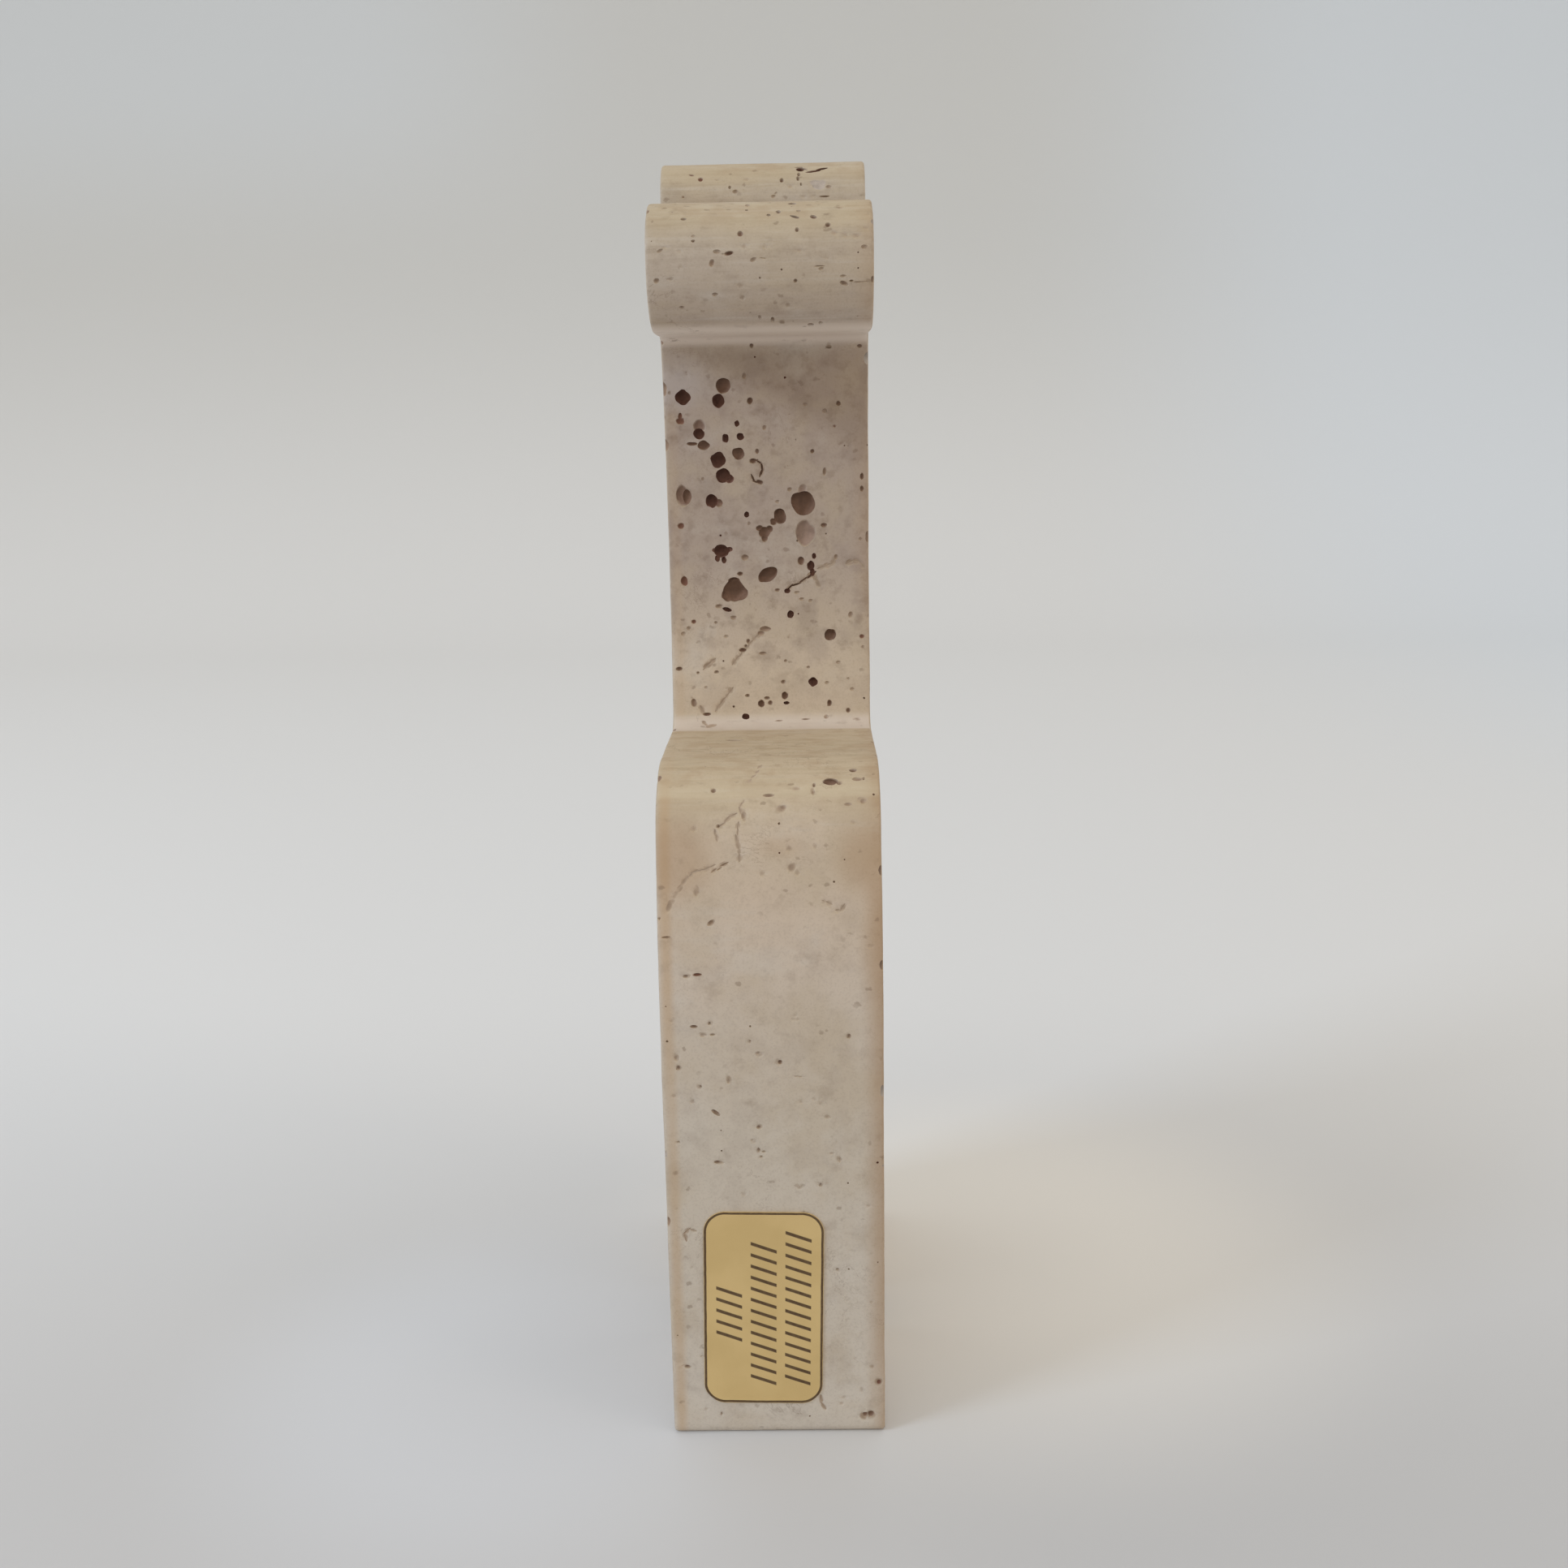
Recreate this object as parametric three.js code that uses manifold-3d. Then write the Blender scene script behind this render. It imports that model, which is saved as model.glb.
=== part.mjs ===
// Giraffe statuette, cut in outline from one slab of travertine, with a foil sticker on its hind leg.
// Millimetres. X runs across the slab, Y from the rump to the chest and Z up. The giraffe looks back
// over its rump, so the end of its muzzle, like the sticker, faces -Y.
import * as THREE from "three";
import { mergeVertices } from "three/addons/utils/BufferGeometryUtils.js";
import Module from "manifold-3d";

// The slab
const SLAB_THICKNESS = 30;
const BODY_LENGTH = 65;
const EDGE_ROUND = 0.8;
const FOOT_ROUND = 1.2;

// Legs and rump
const LEG_STRAIGHT = 62;
const LEG_GAP_START = 27.5;
const LEG_GAP_WIDTH = 11;
const LEG_GAP_HEIGHT = 60;
const RUMP_SWEEP = 88;
const RUMP_ROUND = 11.5;
const BACK_HEIGHT = 95.2;

// Neck, hollowed a little on both edges
const NECK_WAIST_HEIGHT = 124.6;
const NECK_WAIST_REAR = 40;
const NECK_WAIST_FRONT = 63.2;
const NECK_HOLLOW = 168;
const WITHERS_FILLET = 2.8;
const THROAT_FILLET = 2.6;
const CHEST_ROUND = 30;

// Head and horn
const MUZZLE_TIP = 17.6;
const MUZZLE_ROUND = 8.5;
const HEAD_UNDERSIDE = 151.85;
const POLL_ROUND = 6.9;
const HORN_CENTRE = 51;
const HORN_ROUND = 6.3;
const HORN_STEM = 2.15;
const HORN_FILLET = 0.8;
const EYE_DIAMETER = 4.6;
const EYE_DEPTH = 2.6;
const EYE_FROM_TIP = 22.5;
const EYE_BELOW_CROWN = 6.4;

// Sticker
const STICKER_WIDTH = 16.6;
const STICKER_HEIGHT = 29.4;
const STICKER_THICKNESS = 0.2;
const STICKER_CORNER = 3;
const STICKER_ACROSS = -1.9;
const STICKER_CENTRE_HEIGHT = 19.75;
const STICKER_TILT_DEGREES = 1.2;

// Natural hollows of the stone that open on the rear face of the neck: how far across, how high,
// and how wide, how tall and how deep
const HOLLOWS = [
  [-12.3, 143.5, 2.1, 2.1, 2.4],
  [-6.4, 144.2, 2.1, 4.0, 2.0],
  [-9.8, 138.0, 2.1, 3.4, 2.2],
  [-7.2, 134.6, 2.0, 2.2, 2.4],
  [-4.2, 135.3, 1.6, 1.8, 1.6],
  [-6.2, 132.0, 2.4, 2.0, 2.4],
  [-12.5, 129.5, 2.4, 3.0, 1.4],
  [-8.2, 128.5, 2.3, 2.0, 2.2],
  [5.5, 128.1, 3.3, 3.7, 2.4],
  [5.4, 123.7, 3.0, 3.4, 1.4],
  [1.5, 126.0, 2.3, 2.4, 1.8],
  [-0.6, 123.7, 2.1, 2.2, 1.6],
  [-7.2, 121.1, 2.8, 2.5, 2.4],
  [-0.1, 117.5, 2.8, 2.3, 2.0],
  [-5.2, 115.4, 3.5, 3.4, 2.8],
  [6.2, 119.0, 1.6, 2.0, 2.4],
  [9.0, 108.5, 1.8, 1.9, 1.6],
  [6.3, 101.5, 1.5, 1.6, 1.6],
];

// Colours
const STONE_COLOUR = 0xc9bda9;
const STICKER_COLOUR = 0xd0b46c;

// Facets
const ARC_DIVISIONS = 7;
const HOLLOW_SIDES = 10;
const HOLLOW_RINGS = 7;
const EYE_SIDES = 20;

const HALF_TURN = Math.PI;
const QUARTER_TURN = Math.PI / 2;
// The origin lies under the middle of the whole object, the sticker's thickness included.
const REAR_FACE = -(BODY_LENGTH - STICKER_THICKNESS) / 2;

const wasm = await Module();
wasm.setup();

// The rear edge of the neck is an arc about this point, at a height of NECK_WAIST_HEIGHT.
const REAR_HOLLOW_CENTRE = NECK_WAIST_REAR - NECK_HOLLOW;

// A fillet tangent to a level edge and to the hollow rear edge of the neck: where its centre lies
// along the body, and how far its end has turned up or down from level.
function neckFillet(radius, centreHeight) {
  const rise = centreHeight - NECK_WAIST_HEIGHT;
  const reach = Math.sqrt((NECK_HOLLOW - radius) ** 2 - rise ** 2);
  return { along: REAR_HOLLOW_CENTRE + reach, turn: Math.atan2(rise, reach) };
}

function drawHindLegAndRump(outline) {
  const sweep = Math.asin((BACK_HEIGHT - LEG_STRAIGHT - RUMP_ROUND) / (RUMP_SWEEP - RUMP_ROUND));
  const roundAlong = RUMP_SWEEP - (RUMP_SWEEP - RUMP_ROUND) * Math.cos(sweep);
  outline.moveTo(FOOT_ROUND, 0);
  outline.absarc(FOOT_ROUND, FOOT_ROUND, FOOT_ROUND, -QUARTER_TURN, -HALF_TURN, true);
  outline.lineTo(0, LEG_STRAIGHT);
  outline.absarc(RUMP_SWEEP, LEG_STRAIGHT, RUMP_SWEEP, HALF_TURN, HALF_TURN - sweep, true);
  outline.absarc(roundAlong, BACK_HEIGHT - RUMP_ROUND, RUMP_ROUND, HALF_TURN - sweep, QUARTER_TURN, true);
}

function drawRearOfNeck(outline) {
  const withersHeight = BACK_HEIGHT + WITHERS_FILLET;
  const throatHeight = HEAD_UNDERSIDE - THROAT_FILLET;
  const withers = neckFillet(WITHERS_FILLET, withersHeight);
  const throat = neckFillet(THROAT_FILLET, throatHeight);
  outline.absarc(withers.along, withersHeight, WITHERS_FILLET, -QUARTER_TURN, withers.turn, false);
  outline.absarc(REAR_HOLLOW_CENTRE, NECK_WAIST_HEIGHT, NECK_HOLLOW, withers.turn, throat.turn, false);
  outline.absarc(throat.along, throatHeight, THROAT_FILLET, throat.turn, QUARTER_TURN, false);
}

function drawHeadAndHorn(outline) {
  const crown = HEAD_UNDERSIDE + 2 * MUZZLE_ROUND;
  const hornRear = HORN_CENTRE - HORN_ROUND;
  const hornFront = HORN_CENTRE + HORN_ROUND;
  const filletHeight = crown + HORN_FILLET;
  outline.absarc(
    MUZZLE_TIP + MUZZLE_ROUND, HEAD_UNDERSIDE + MUZZLE_ROUND, MUZZLE_ROUND, -QUARTER_TURN, QUARTER_TURN, true,
  );
  outline.absarc(hornRear - HORN_FILLET, filletHeight, HORN_FILLET, -QUARTER_TURN, 0, false);
  outline.absarc(HORN_CENTRE, crown + HORN_STEM, HORN_ROUND, HALF_TURN, 0, true);
  outline.absarc(hornFront + HORN_FILLET, filletHeight, HORN_FILLET, HALF_TURN, HALF_TURN + QUARTER_TURN, false);
  outline.absarc(BODY_LENGTH - POLL_ROUND, crown - POLL_ROUND, POLL_ROUND, QUARTER_TURN, 0, true);
}

function drawFrontOfNeckAndChest(outline) {
  const waist = BODY_LENGTH - NECK_WAIST_FRONT;
  const turn = Math.acos(1 - waist / (CHEST_ROUND + NECK_HOLLOW));
  const reach = (CHEST_ROUND + NECK_HOLLOW) * Math.sin(turn);
  const roundAlong = BODY_LENGTH - CHEST_ROUND;
  const hollowAlong = NECK_WAIST_FRONT + NECK_HOLLOW;
  outline.absarc(roundAlong, NECK_WAIST_HEIGHT + reach, CHEST_ROUND, 0, -turn, true);
  outline.absarc(hollowAlong, NECK_WAIST_HEIGHT, NECK_HOLLOW, HALF_TURN - turn, HALF_TURN + turn, false);
  outline.absarc(roundAlong, NECK_WAIST_HEIGHT - reach, CHEST_ROUND, turn, 0, true);
}

function drawFeetAndGap(outline) {
  const gapRadius = LEG_GAP_WIDTH / 2;
  const gapFront = LEG_GAP_START + LEG_GAP_WIDTH;
  outline.absarc(BODY_LENGTH - FOOT_ROUND, FOOT_ROUND, FOOT_ROUND, 0, -QUARTER_TURN, true);
  outline.absarc(gapFront + FOOT_ROUND, FOOT_ROUND, FOOT_ROUND, -QUARTER_TURN, -HALF_TURN, true);
  outline.absarc(LEG_GAP_START + gapRadius, LEG_GAP_HEIGHT - gapRadius, gapRadius, 0, HALF_TURN, false);
  outline.absarc(LEG_GAP_START - FOOT_ROUND, FOOT_ROUND, FOOT_ROUND, 0, -QUARTER_TURN, true);
}

// The outline's first axis runs along the body from the rump, and its second axis up.
function makeOutline() {
  const outline = new THREE.Shape();
  drawHindLegAndRump(outline);
  drawRearOfNeck(outline);
  drawHeadAndHorn(outline);
  drawFrontOfNeckAndChest(outline);
  drawFeetAndGap(outline);
  outline.closePath();
  return outline;
}

function toSolid(geometry) {
  const bare = geometry.clone();
  bare.deleteAttribute("normal");
  bare.deleteAttribute("uv");
  const merged = mergeVertices(bare, 1e-4);
  const vertProperties = new Float32Array(merged.attributes.position.array);
  const triVerts = new Uint32Array(merged.index.array);
  return new wasm.Manifold(new wasm.Mesh({ numProp: 3, vertProperties, triVerts }));
}

function toGeometry(solid) {
  const mesh = solid.getMesh();
  const geometry = new THREE.BufferGeometry();
  geometry.setAttribute("position", new THREE.BufferAttribute(mesh.vertProperties, 3));
  geometry.setIndex(new THREE.BufferAttribute(mesh.triVerts, 1));
  geometry.computeVertexNormals();
  return geometry;
}

// The outline cut through the slab, with its edges rounded.
function makeSlab() {
  const depth = SLAB_THICKNESS - 2 * EDGE_ROUND;
  const geometry = new THREE.ExtrudeGeometry(makeOutline(), {
    depth,
    steps: 1,
    curveSegments: ARC_DIVISIONS,
    bevelEnabled: true,
    bevelThickness: EDGE_ROUND,
    bevelSize: EDGE_ROUND,
    bevelOffset: -EDGE_ROUND,
    bevelSegments: 2,
  });
  geometry.translate(0, 0, -depth / 2);
  // Along the body becomes Y, up becomes Z and through the slab becomes X.
  const turned = new THREE.Matrix4().makeBasis(
    new THREE.Vector3(0, 1, 0), new THREE.Vector3(0, 0, 1), new THREE.Vector3(1, 0, 0),
  );
  geometry.applyMatrix4(turned);
  geometry.translate(0, REAR_FACE, 0);
  return toSolid(geometry);
}

// A blind round hole drilled into each side of the head.
function makeEyeDrill() {
  const drill = new THREE.CylinderGeometry(EYE_DIAMETER / 2, EYE_DIAMETER / 2, 2 * EYE_DEPTH, EYE_SIDES);
  drill.rotateZ(QUARTER_TURN);
  return drill;
}

function drillEyes(stone) {
  const along = REAR_FACE + MUZZLE_TIP + EYE_FROM_TIP;
  const height = HEAD_UNDERSIDE + 2 * MUZZLE_ROUND - EYE_BELOW_CROWN;
  let drilled = stone;
  for (const side of [-1, 1]) {
    const drill = makeEyeDrill();
    drill.translate((side * SLAB_THICKNESS) / 2, along, height);
    drilled = drilled.subtract(toSolid(drill));
  }
  return drilled;
}

function rearOfNeckAt(height) {
  const rise = height - NECK_WAIST_HEIGHT;
  return REAR_FACE + REAR_HOLLOW_CENTRE + Math.sqrt(NECK_HOLLOW ** 2 - rise ** 2);
}

function openHollows(stone) {
  let opened = stone;
  for (const [across, height, width, tall, deep] of HOLLOWS) {
    const hollow = new THREE.SphereGeometry(0.5, HOLLOW_SIDES, HOLLOW_RINGS);
    hollow.scale(width, 2 * deep, tall);
    hollow.translate(across, rearOfNeckAt(height), height);
    opened = opened.subtract(toSolid(hollow));
  }
  return opened;
}

function makeSticker() {
  const halfWidth = STICKER_WIDTH / 2 - STICKER_CORNER;
  const halfHeight = STICKER_HEIGHT / 2 - STICKER_CORNER;
  const outline = new THREE.Shape();
  outline.moveTo(halfWidth + STICKER_CORNER, -halfHeight);
  outline.absarc(halfWidth, halfHeight, STICKER_CORNER, 0, QUARTER_TURN, false);
  outline.absarc(-halfWidth, halfHeight, STICKER_CORNER, QUARTER_TURN, HALF_TURN, false);
  outline.absarc(-halfWidth, -halfHeight, STICKER_CORNER, HALF_TURN, HALF_TURN + QUARTER_TURN, false);
  outline.absarc(halfWidth, -halfHeight, STICKER_CORNER, -QUARTER_TURN, 0, false);
  outline.closePath();
  const geometry = new THREE.ExtrudeGeometry(outline, {
    depth: STICKER_THICKNESS,
    curveSegments: ARC_DIVISIONS,
    bevelEnabled: false,
  });
  geometry.rotateZ(-THREE.MathUtils.degToRad(STICKER_TILT_DEGREES));
  // The sticker's width stays X, its height becomes Z, and its printed side faces -Y.
  geometry.rotateX(QUARTER_TURN);
  geometry.translate(STICKER_ACROSS, REAR_FACE, STICKER_CENTRE_HEIGHT);
  return geometry;
}

function makePiece(name, geometry, color, roughness, metalness) {
  const piece = new THREE.Mesh(geometry, new THREE.MeshStandardMaterial({ color, roughness, metalness }));
  piece.name = name;
  return piece;
}

const stone = openHollows(drillEyes(makeSlab()));

const statuette = new THREE.Group();
statuette.add(makePiece("giraffe", toGeometry(stone), STONE_COLOUR, 0.6, 0));
statuette.add(makePiece("sticker", makeSticker(), STICKER_COLOUR, 0.4, 0.3));

export default statuette;
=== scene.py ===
# %% [markdown]
# A giraffe sawn from one slab of travertine
# The real ornament is a flat piece of pale stone, 30 mm thick, cut to the outline of a giraffe that
# looks back over its rump. A small foil sticker is on its hind leg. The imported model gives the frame,
# and everything here is made in metres in that same frame: X runs across the slab, Y from the rump
# to the chest, and Z up.

# %% Load the frame
import math
import random

import bpy
from mathutils import Matrix, Vector, kdtree
from mathutils.bvhtree import BVHTree


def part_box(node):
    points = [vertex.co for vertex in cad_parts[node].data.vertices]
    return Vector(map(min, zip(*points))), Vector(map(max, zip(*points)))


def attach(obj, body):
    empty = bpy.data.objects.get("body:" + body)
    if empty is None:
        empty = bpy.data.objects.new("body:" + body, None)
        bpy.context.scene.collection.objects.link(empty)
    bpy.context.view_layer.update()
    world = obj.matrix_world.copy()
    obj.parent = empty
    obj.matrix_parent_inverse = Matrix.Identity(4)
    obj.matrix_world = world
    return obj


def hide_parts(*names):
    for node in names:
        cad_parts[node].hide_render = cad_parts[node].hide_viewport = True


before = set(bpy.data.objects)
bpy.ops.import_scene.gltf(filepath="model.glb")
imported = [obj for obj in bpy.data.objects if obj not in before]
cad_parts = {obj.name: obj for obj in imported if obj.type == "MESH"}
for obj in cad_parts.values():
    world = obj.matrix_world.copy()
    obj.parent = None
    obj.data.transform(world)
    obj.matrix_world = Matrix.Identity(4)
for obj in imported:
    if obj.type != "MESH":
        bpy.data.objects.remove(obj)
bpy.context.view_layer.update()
MM = 0.001
sticker_low, sticker_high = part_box("sticker")

# %% [markdown]
# The camera
# A photograph taken from only 23 cm away shows strong perspective: the head looks wider than the
# neck because it is nearer. The lens, the place and the tilt below are what makes the slab's edges
# and the sticker fall where the photograph has them.

# %% Camera
PHOTO_SIZE = 1932
FOCAL_PIXELS = 1960
SENSOR_WIDTH = 36
CAMERA_PLACE = Vector((5.2, -231.8, 140.6)) * MM
CAMERA_LEFT = math.radians(0.85)
CAMERA_DOWN = math.radians(12.98)
CAMERA_ROLL = math.radians(-1.03)

bpy.ops.object.camera_add(location=CAMERA_PLACE)
camera = bpy.context.object
camera.data.sensor_width = SENSOR_WIDTH
camera.data.lens = SENSOR_WIDTH * FOCAL_PIXELS / PHOTO_SIZE
camera.data.clip_start = 10 * MM
camera.matrix_world = (Matrix.Translation(CAMERA_PLACE)
                       @ Matrix.Rotation(CAMERA_LEFT, 4, "Z")
                       @ Matrix.Rotation(math.pi / 2 - CAMERA_DOWN, 4, "X")
                       @ Matrix.Rotation(CAMERA_ROLL, 4, "Z"))
bpy.context.scene.camera = camera
print("Lens in millimetres:", round(camera.data.lens, 2))

# %% [markdown]
# Shader maths as Python
# Every material here is procedural: its colours come from noise and from the place on the stone, not
# from a picture. Adding Math nodes one by one is slow to read, so a Wire wraps one socket and lets
# Python's own operators add the nodes. A Paint is one material, and its method node adds any node.
# Its colour is built up in coats, each laid over the one before.

# %% The Wire and Paint classes
class Wire:
    """One output socket of a material, which Python's operators can work with."""

    def __init__(self, paint, socket):
        self.paint = paint
        self.socket = socket

    def __add__(self, other):
        return self.paint.maths("ADD", self, other)

    def __sub__(self, other):
        return self.paint.maths("SUBTRACT", self, other)

    def __rsub__(self, other):
        return self.paint.maths("SUBTRACT", other, self)

    def __mul__(self, other):
        return self.paint.maths("MULTIPLY", self, other)

    def __truediv__(self, other):
        return self.paint.maths("DIVIDE", self, other)

    def __abs__(self):
        return self.paint.maths("ABSOLUTE", self)

    __radd__ = __add__
    __rmul__ = __mul__


class Paint:
    """A new material, with short ways to add the nodes that this scene uses."""

    def __init__(self, name):
        self.material = bpy.data.materials.new(name)
        self.material.use_nodes = True
        self.tree = self.material.node_tree
        self.shader = self.tree.nodes["Principled BSDF"]
        self.colour = None

    def node(self, kind, settings=None, sockets=None, output=0):
        new = self.tree.nodes.new("ShaderNode" + kind)
        for name, value in (settings or {}).items():
            if name == "stops":
                self.set_stops(new.color_ramp.elements, value)
            else:
                setattr(new, name, value)
        for name, value in (sockets or {}).items():
            self.feed(new.inputs[name], value)
        return Wire(self, new.outputs[output])

    def set_stops(self, elements, stops):
        while len(elements) < len(stops):
            elements.new(1.0)
        for element, (position, colour) in zip(elements, stops):
            element.position = position
            element.color = colour

    def feed(self, socket, value):
        if isinstance(value, Wire):
            self.tree.links.new(value.socket, socket)
        else:
            socket.default_value = value

    def maths(self, operation, first, second=0.0):
        return self.node("Math", {"operation": operation}, {0: first, 1: second})

    def low(self, first, second):
        return self.maths("MINIMUM", first, second)

    def high(self, first, second):
        return self.maths("MAXIMUM", first, second)

    def step(self, value, start, end):
        """0 before start and 1 after end, or the other way round where end is the lower one."""
        settings = {"interpolation_type": "SMOOTHSTEP"}
        if start < end:
            return self.node("MapRange", settings, {0: value, 1: start, 2: end})
        return 1 - self.node("MapRange", settings, {0: value, 1: end, 2: start})

    def span(self, first, second):
        """How long a way is that goes this far along two axes."""
        return self.maths("SQRT", first * first + second * second)

    def mix(self, amount, first, second):
        return self.node("Mix", {"data_type": "RGBA"}, {0: amount, 6: first, 7: second}, output=2)

    def coat(self, amount, colour):
        """Lays a colour over the ones laid so far. An amount of 1 hides them."""
        self.colour = self.mix(amount, self.colour, colour)

    def dress(self, **values):
        """Feeds the shader's own sockets, named with an underscore for each space."""
        for name, value in values.items():
            self.feed(self.shader.inputs[name.replace("_", " ")], value)

    def place(self, stretch=(1, 1, 1)):
        """The place on the object in millimetres, squeezed or stretched along its axes."""
        place = self.node("TexCoord", output="Object")
        factors = [part / MM for part in stretch]
        return self.node("VectorMath", {"operation": "MULTIPLY"}, {0: place, 1: factors})

    def parts(self, vector):
        return [self.node("SeparateXYZ", None, {0: vector}, output=axis) for axis in range(3)]

    def noise(self, vector, scale, detail=3.0, roughness=0.5, warp=0.0):
        sockets = {"Vector": vector, "Scale": scale, "Detail": detail,
                   "Roughness": roughness, "Distortion": warp}
        return self.node("TexNoise", None, sockets)

    def attribute(self, name, output="Fac"):
        return self.node("Attribute", {"attribute_name": name}, output=output)


def tint(red, green, blue):
    """A colour written as on a screen, from 0 to 255, as the linear one that shaders use."""
    parts = [part / 255 for part in (red, green, blue)]
    return [part / 12.92 if part <= 0.04045 else ((part + 0.055) / 1.055) ** 2.4
            for part in parts] + [1.0]


print("A mid grey is", [round(part, 3) for part in tint(128, 128, 128)])

# %% [markdown]
# The floor and the light
# The statuette stands on a plain pale sweep: a floor that curves up into a wall, so no corner line
# shows. The light is soft and comes mostly from all round. A cool lamp on the left stands for a
# window and throws the head's shadow slantwise across the neck, a weak warm one fills the right, and
# a weaker one hangs behind.

# %% Floor sweep
SWEEP_WIDTH = 3.0
SWEEP_FRONT = -1.2
SWEEP_BACK = 0.75
SWEEP_ROUND = 0.5
SWEEP_HEIGHT = 1.8


def deselect_all():
    bpy.ops.object.select_all(action="DESELECT")


def start_editing(piece):
    deselect_all()
    piece.select_set(True)
    bpy.context.view_layer.objects.active = piece
    bpy.ops.object.mode_set(mode="EDIT")


def stop_editing():
    bpy.ops.object.mode_set(mode="OBJECT")


def edge_ends(piece, edge):
    return [piece.data.vertices[index].co for index in edge.vertices]


def edit_only(piece, kind, wanted):
    """Starts editing a piece with only those edges or faces selected for which wanted is true."""
    start_editing(piece)
    bpy.ops.mesh.select_mode(type=kind)
    bpy.ops.mesh.select_all(action="DESELECT")
    stop_editing()
    for part in piece.data.edges if kind == "EDGE" else piece.data.polygons:
        part.select = wanted(part)
    bpy.ops.object.mode_set(mode="EDIT")


deselect_all()
bpy.ops.mesh.primitive_plane_add(size=1, location=(0, (SWEEP_FRONT + SWEEP_BACK) / 2, 0))
floor = bpy.context.object
floor.name = "floor_sweep"
floor.scale = (SWEEP_WIDTH, SWEEP_BACK - SWEEP_FRONT, 1)
bpy.ops.object.transform_apply(location=True, rotation=False, scale=True)
edit_only(floor, "EDGE", lambda edge: all(end.y > SWEEP_BACK - MM for end in edge_ends(floor, edge)))
bpy.ops.mesh.spin(steps=24, angle=-math.pi / 2, axis=(1, 0, 0),
                  center=(0, SWEEP_BACK, SWEEP_ROUND))
bpy.ops.mesh.extrude_region_move(TRANSFORM_OT_translate={"value": (0, 0, SWEEP_HEIGHT)})
bpy.ops.mesh.select_all(action="SELECT")
bpy.ops.mesh.normals_make_consistent(inside=False)
stop_editing()
bpy.ops.object.shade_smooth()

print("Sweep faces:", len(floor.data.polygons))

# %% Colour of the sweep, with painted light and shade
# The card's colour carries painted light and shade. It is painted palest far behind the statuette and
# greyer near the camera and up the wall, with painted cool light at two sides and a painted shadow at
# the front right. Two painted pools of light lie beside the foot, one warm and one cool. Each pool has
# its middle across and back, its reach, how strong it is and its colour. Lengths are in metres.
PAINTED_COOL_LIGHT = tint(222, 231, 240)
PAINTED_LIGHT_POOLS = ((0.035, 0.02, 0.08, 0.8, tint(242, 237, 228)),
         (-0.04, -0.02, 0.06, 0.32, tint(236, 240, 246)))
POOL_MIDDLE = 0.02

card = Paint("pale_card")
card_across, card_back, card_up = [part * MM for part in card.parts(card.place())]
# Painted light falloff: palest far behind, greyer near the camera and up the wall.
card.colour = card.mix(card.step(card_back, 0.16, -0.08), tint(233, 232, 230), tint(205, 203, 201))
card.coat(card.step(card_up, -0.1, 0.32), tint(208, 207, 203))
beside = card.step(card_across, 0.15, 0.5) * card.step(card_back, 0.1, 0.5)
high_left = card.step(card_across, -0.1, -0.4) * card.step(card_up, 0.25, 0.45)
painted_shadow_front_right = card.step(card_across, -0.02, 0.04) * card.step(card_back, 0.02, -0.06)
# Painted cool light at the two sides and high on the left.
card.coat(0.5 * beside + 0.3 * high_left, PAINTED_COOL_LIGHT)
# A painted shadow at the front right of the foot.
card.coat(0.2 * painted_shadow_front_right, tint(182, 182, 181))
# Painted pools of light beside the foot, one warm and one cool.
for pool_across, pool_back, reach, strength, colour in PAINTED_LIGHT_POOLS:
    from_middle = card.span(card_across - pool_across, card_back - pool_back)
    card.coat(strength * card.step(from_middle, reach, POOL_MIDDLE), colour)
card.dress(Base_Color=card.colour, Roughness=0.8, Specular_IOR_Level=0.2)
floor.data.materials.append(card.material)
print("Nodes in the card's material:", len(card.tree.nodes))

# %% Lights
LIGHT_AIM = Vector((0, 0, 90)) * MM
ROOM_STRENGTH = 0.775


def soft_light(name, place, size, watts, colour):
    """A square lamp that looks at the middle of the statuette."""
    place = Vector(place)
    bpy.ops.object.light_add(type="AREA", location=place)
    lamp = bpy.context.object
    lamp.name = name
    lamp.rotation_euler = (LIGHT_AIM - place).to_track_quat("-Z", "Y").to_euler()
    lamp.data.size = size
    lamp.data.energy = watts
    lamp.data.color = tint(*colour)[:3]
    lamp.visible_camera = False


soft_light("window_left", (-0.888, -0.467, 0.665), 0.3, 3.6, (208, 228, 255))
soft_light("back_high", (0.0, 0.6, 1.2), 1.0, 0.6, (255, 246, 232))
soft_light("warm_right", (1.9, -1.0, 0.8), 0.6, 3.2, (255, 228, 196))

world = bpy.data.worlds.new("room")
bpy.context.scene.world = world
world.use_nodes = True
room = world.node_tree.nodes["Background"]
room.inputs["Color"].default_value = tint(255, 254, 252)
room.inputs["Strength"].default_value = ROOM_STRENGTH
bpy.context.scene.view_settings.view_transform = "Standard"

# %% [markdown]
# The outline of the giraffe
# The stone was cut along one drawn outline, so the mesh starts in the same way. A small plane is
# merged to a single point, and that point is then drawn round the giraffe: extrude makes each
# straight stretch and spin makes each arc. Lengths are in millimetres from the rump, so that the
# sizes read as on a drawing, and the pen turns them into the frame's metres.

# %% The pen
SLAB_THICKNESS = 30
BODY_LENGTH = 65
REAR_FACE = -32.4
PEN_STEP = 1.0


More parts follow.
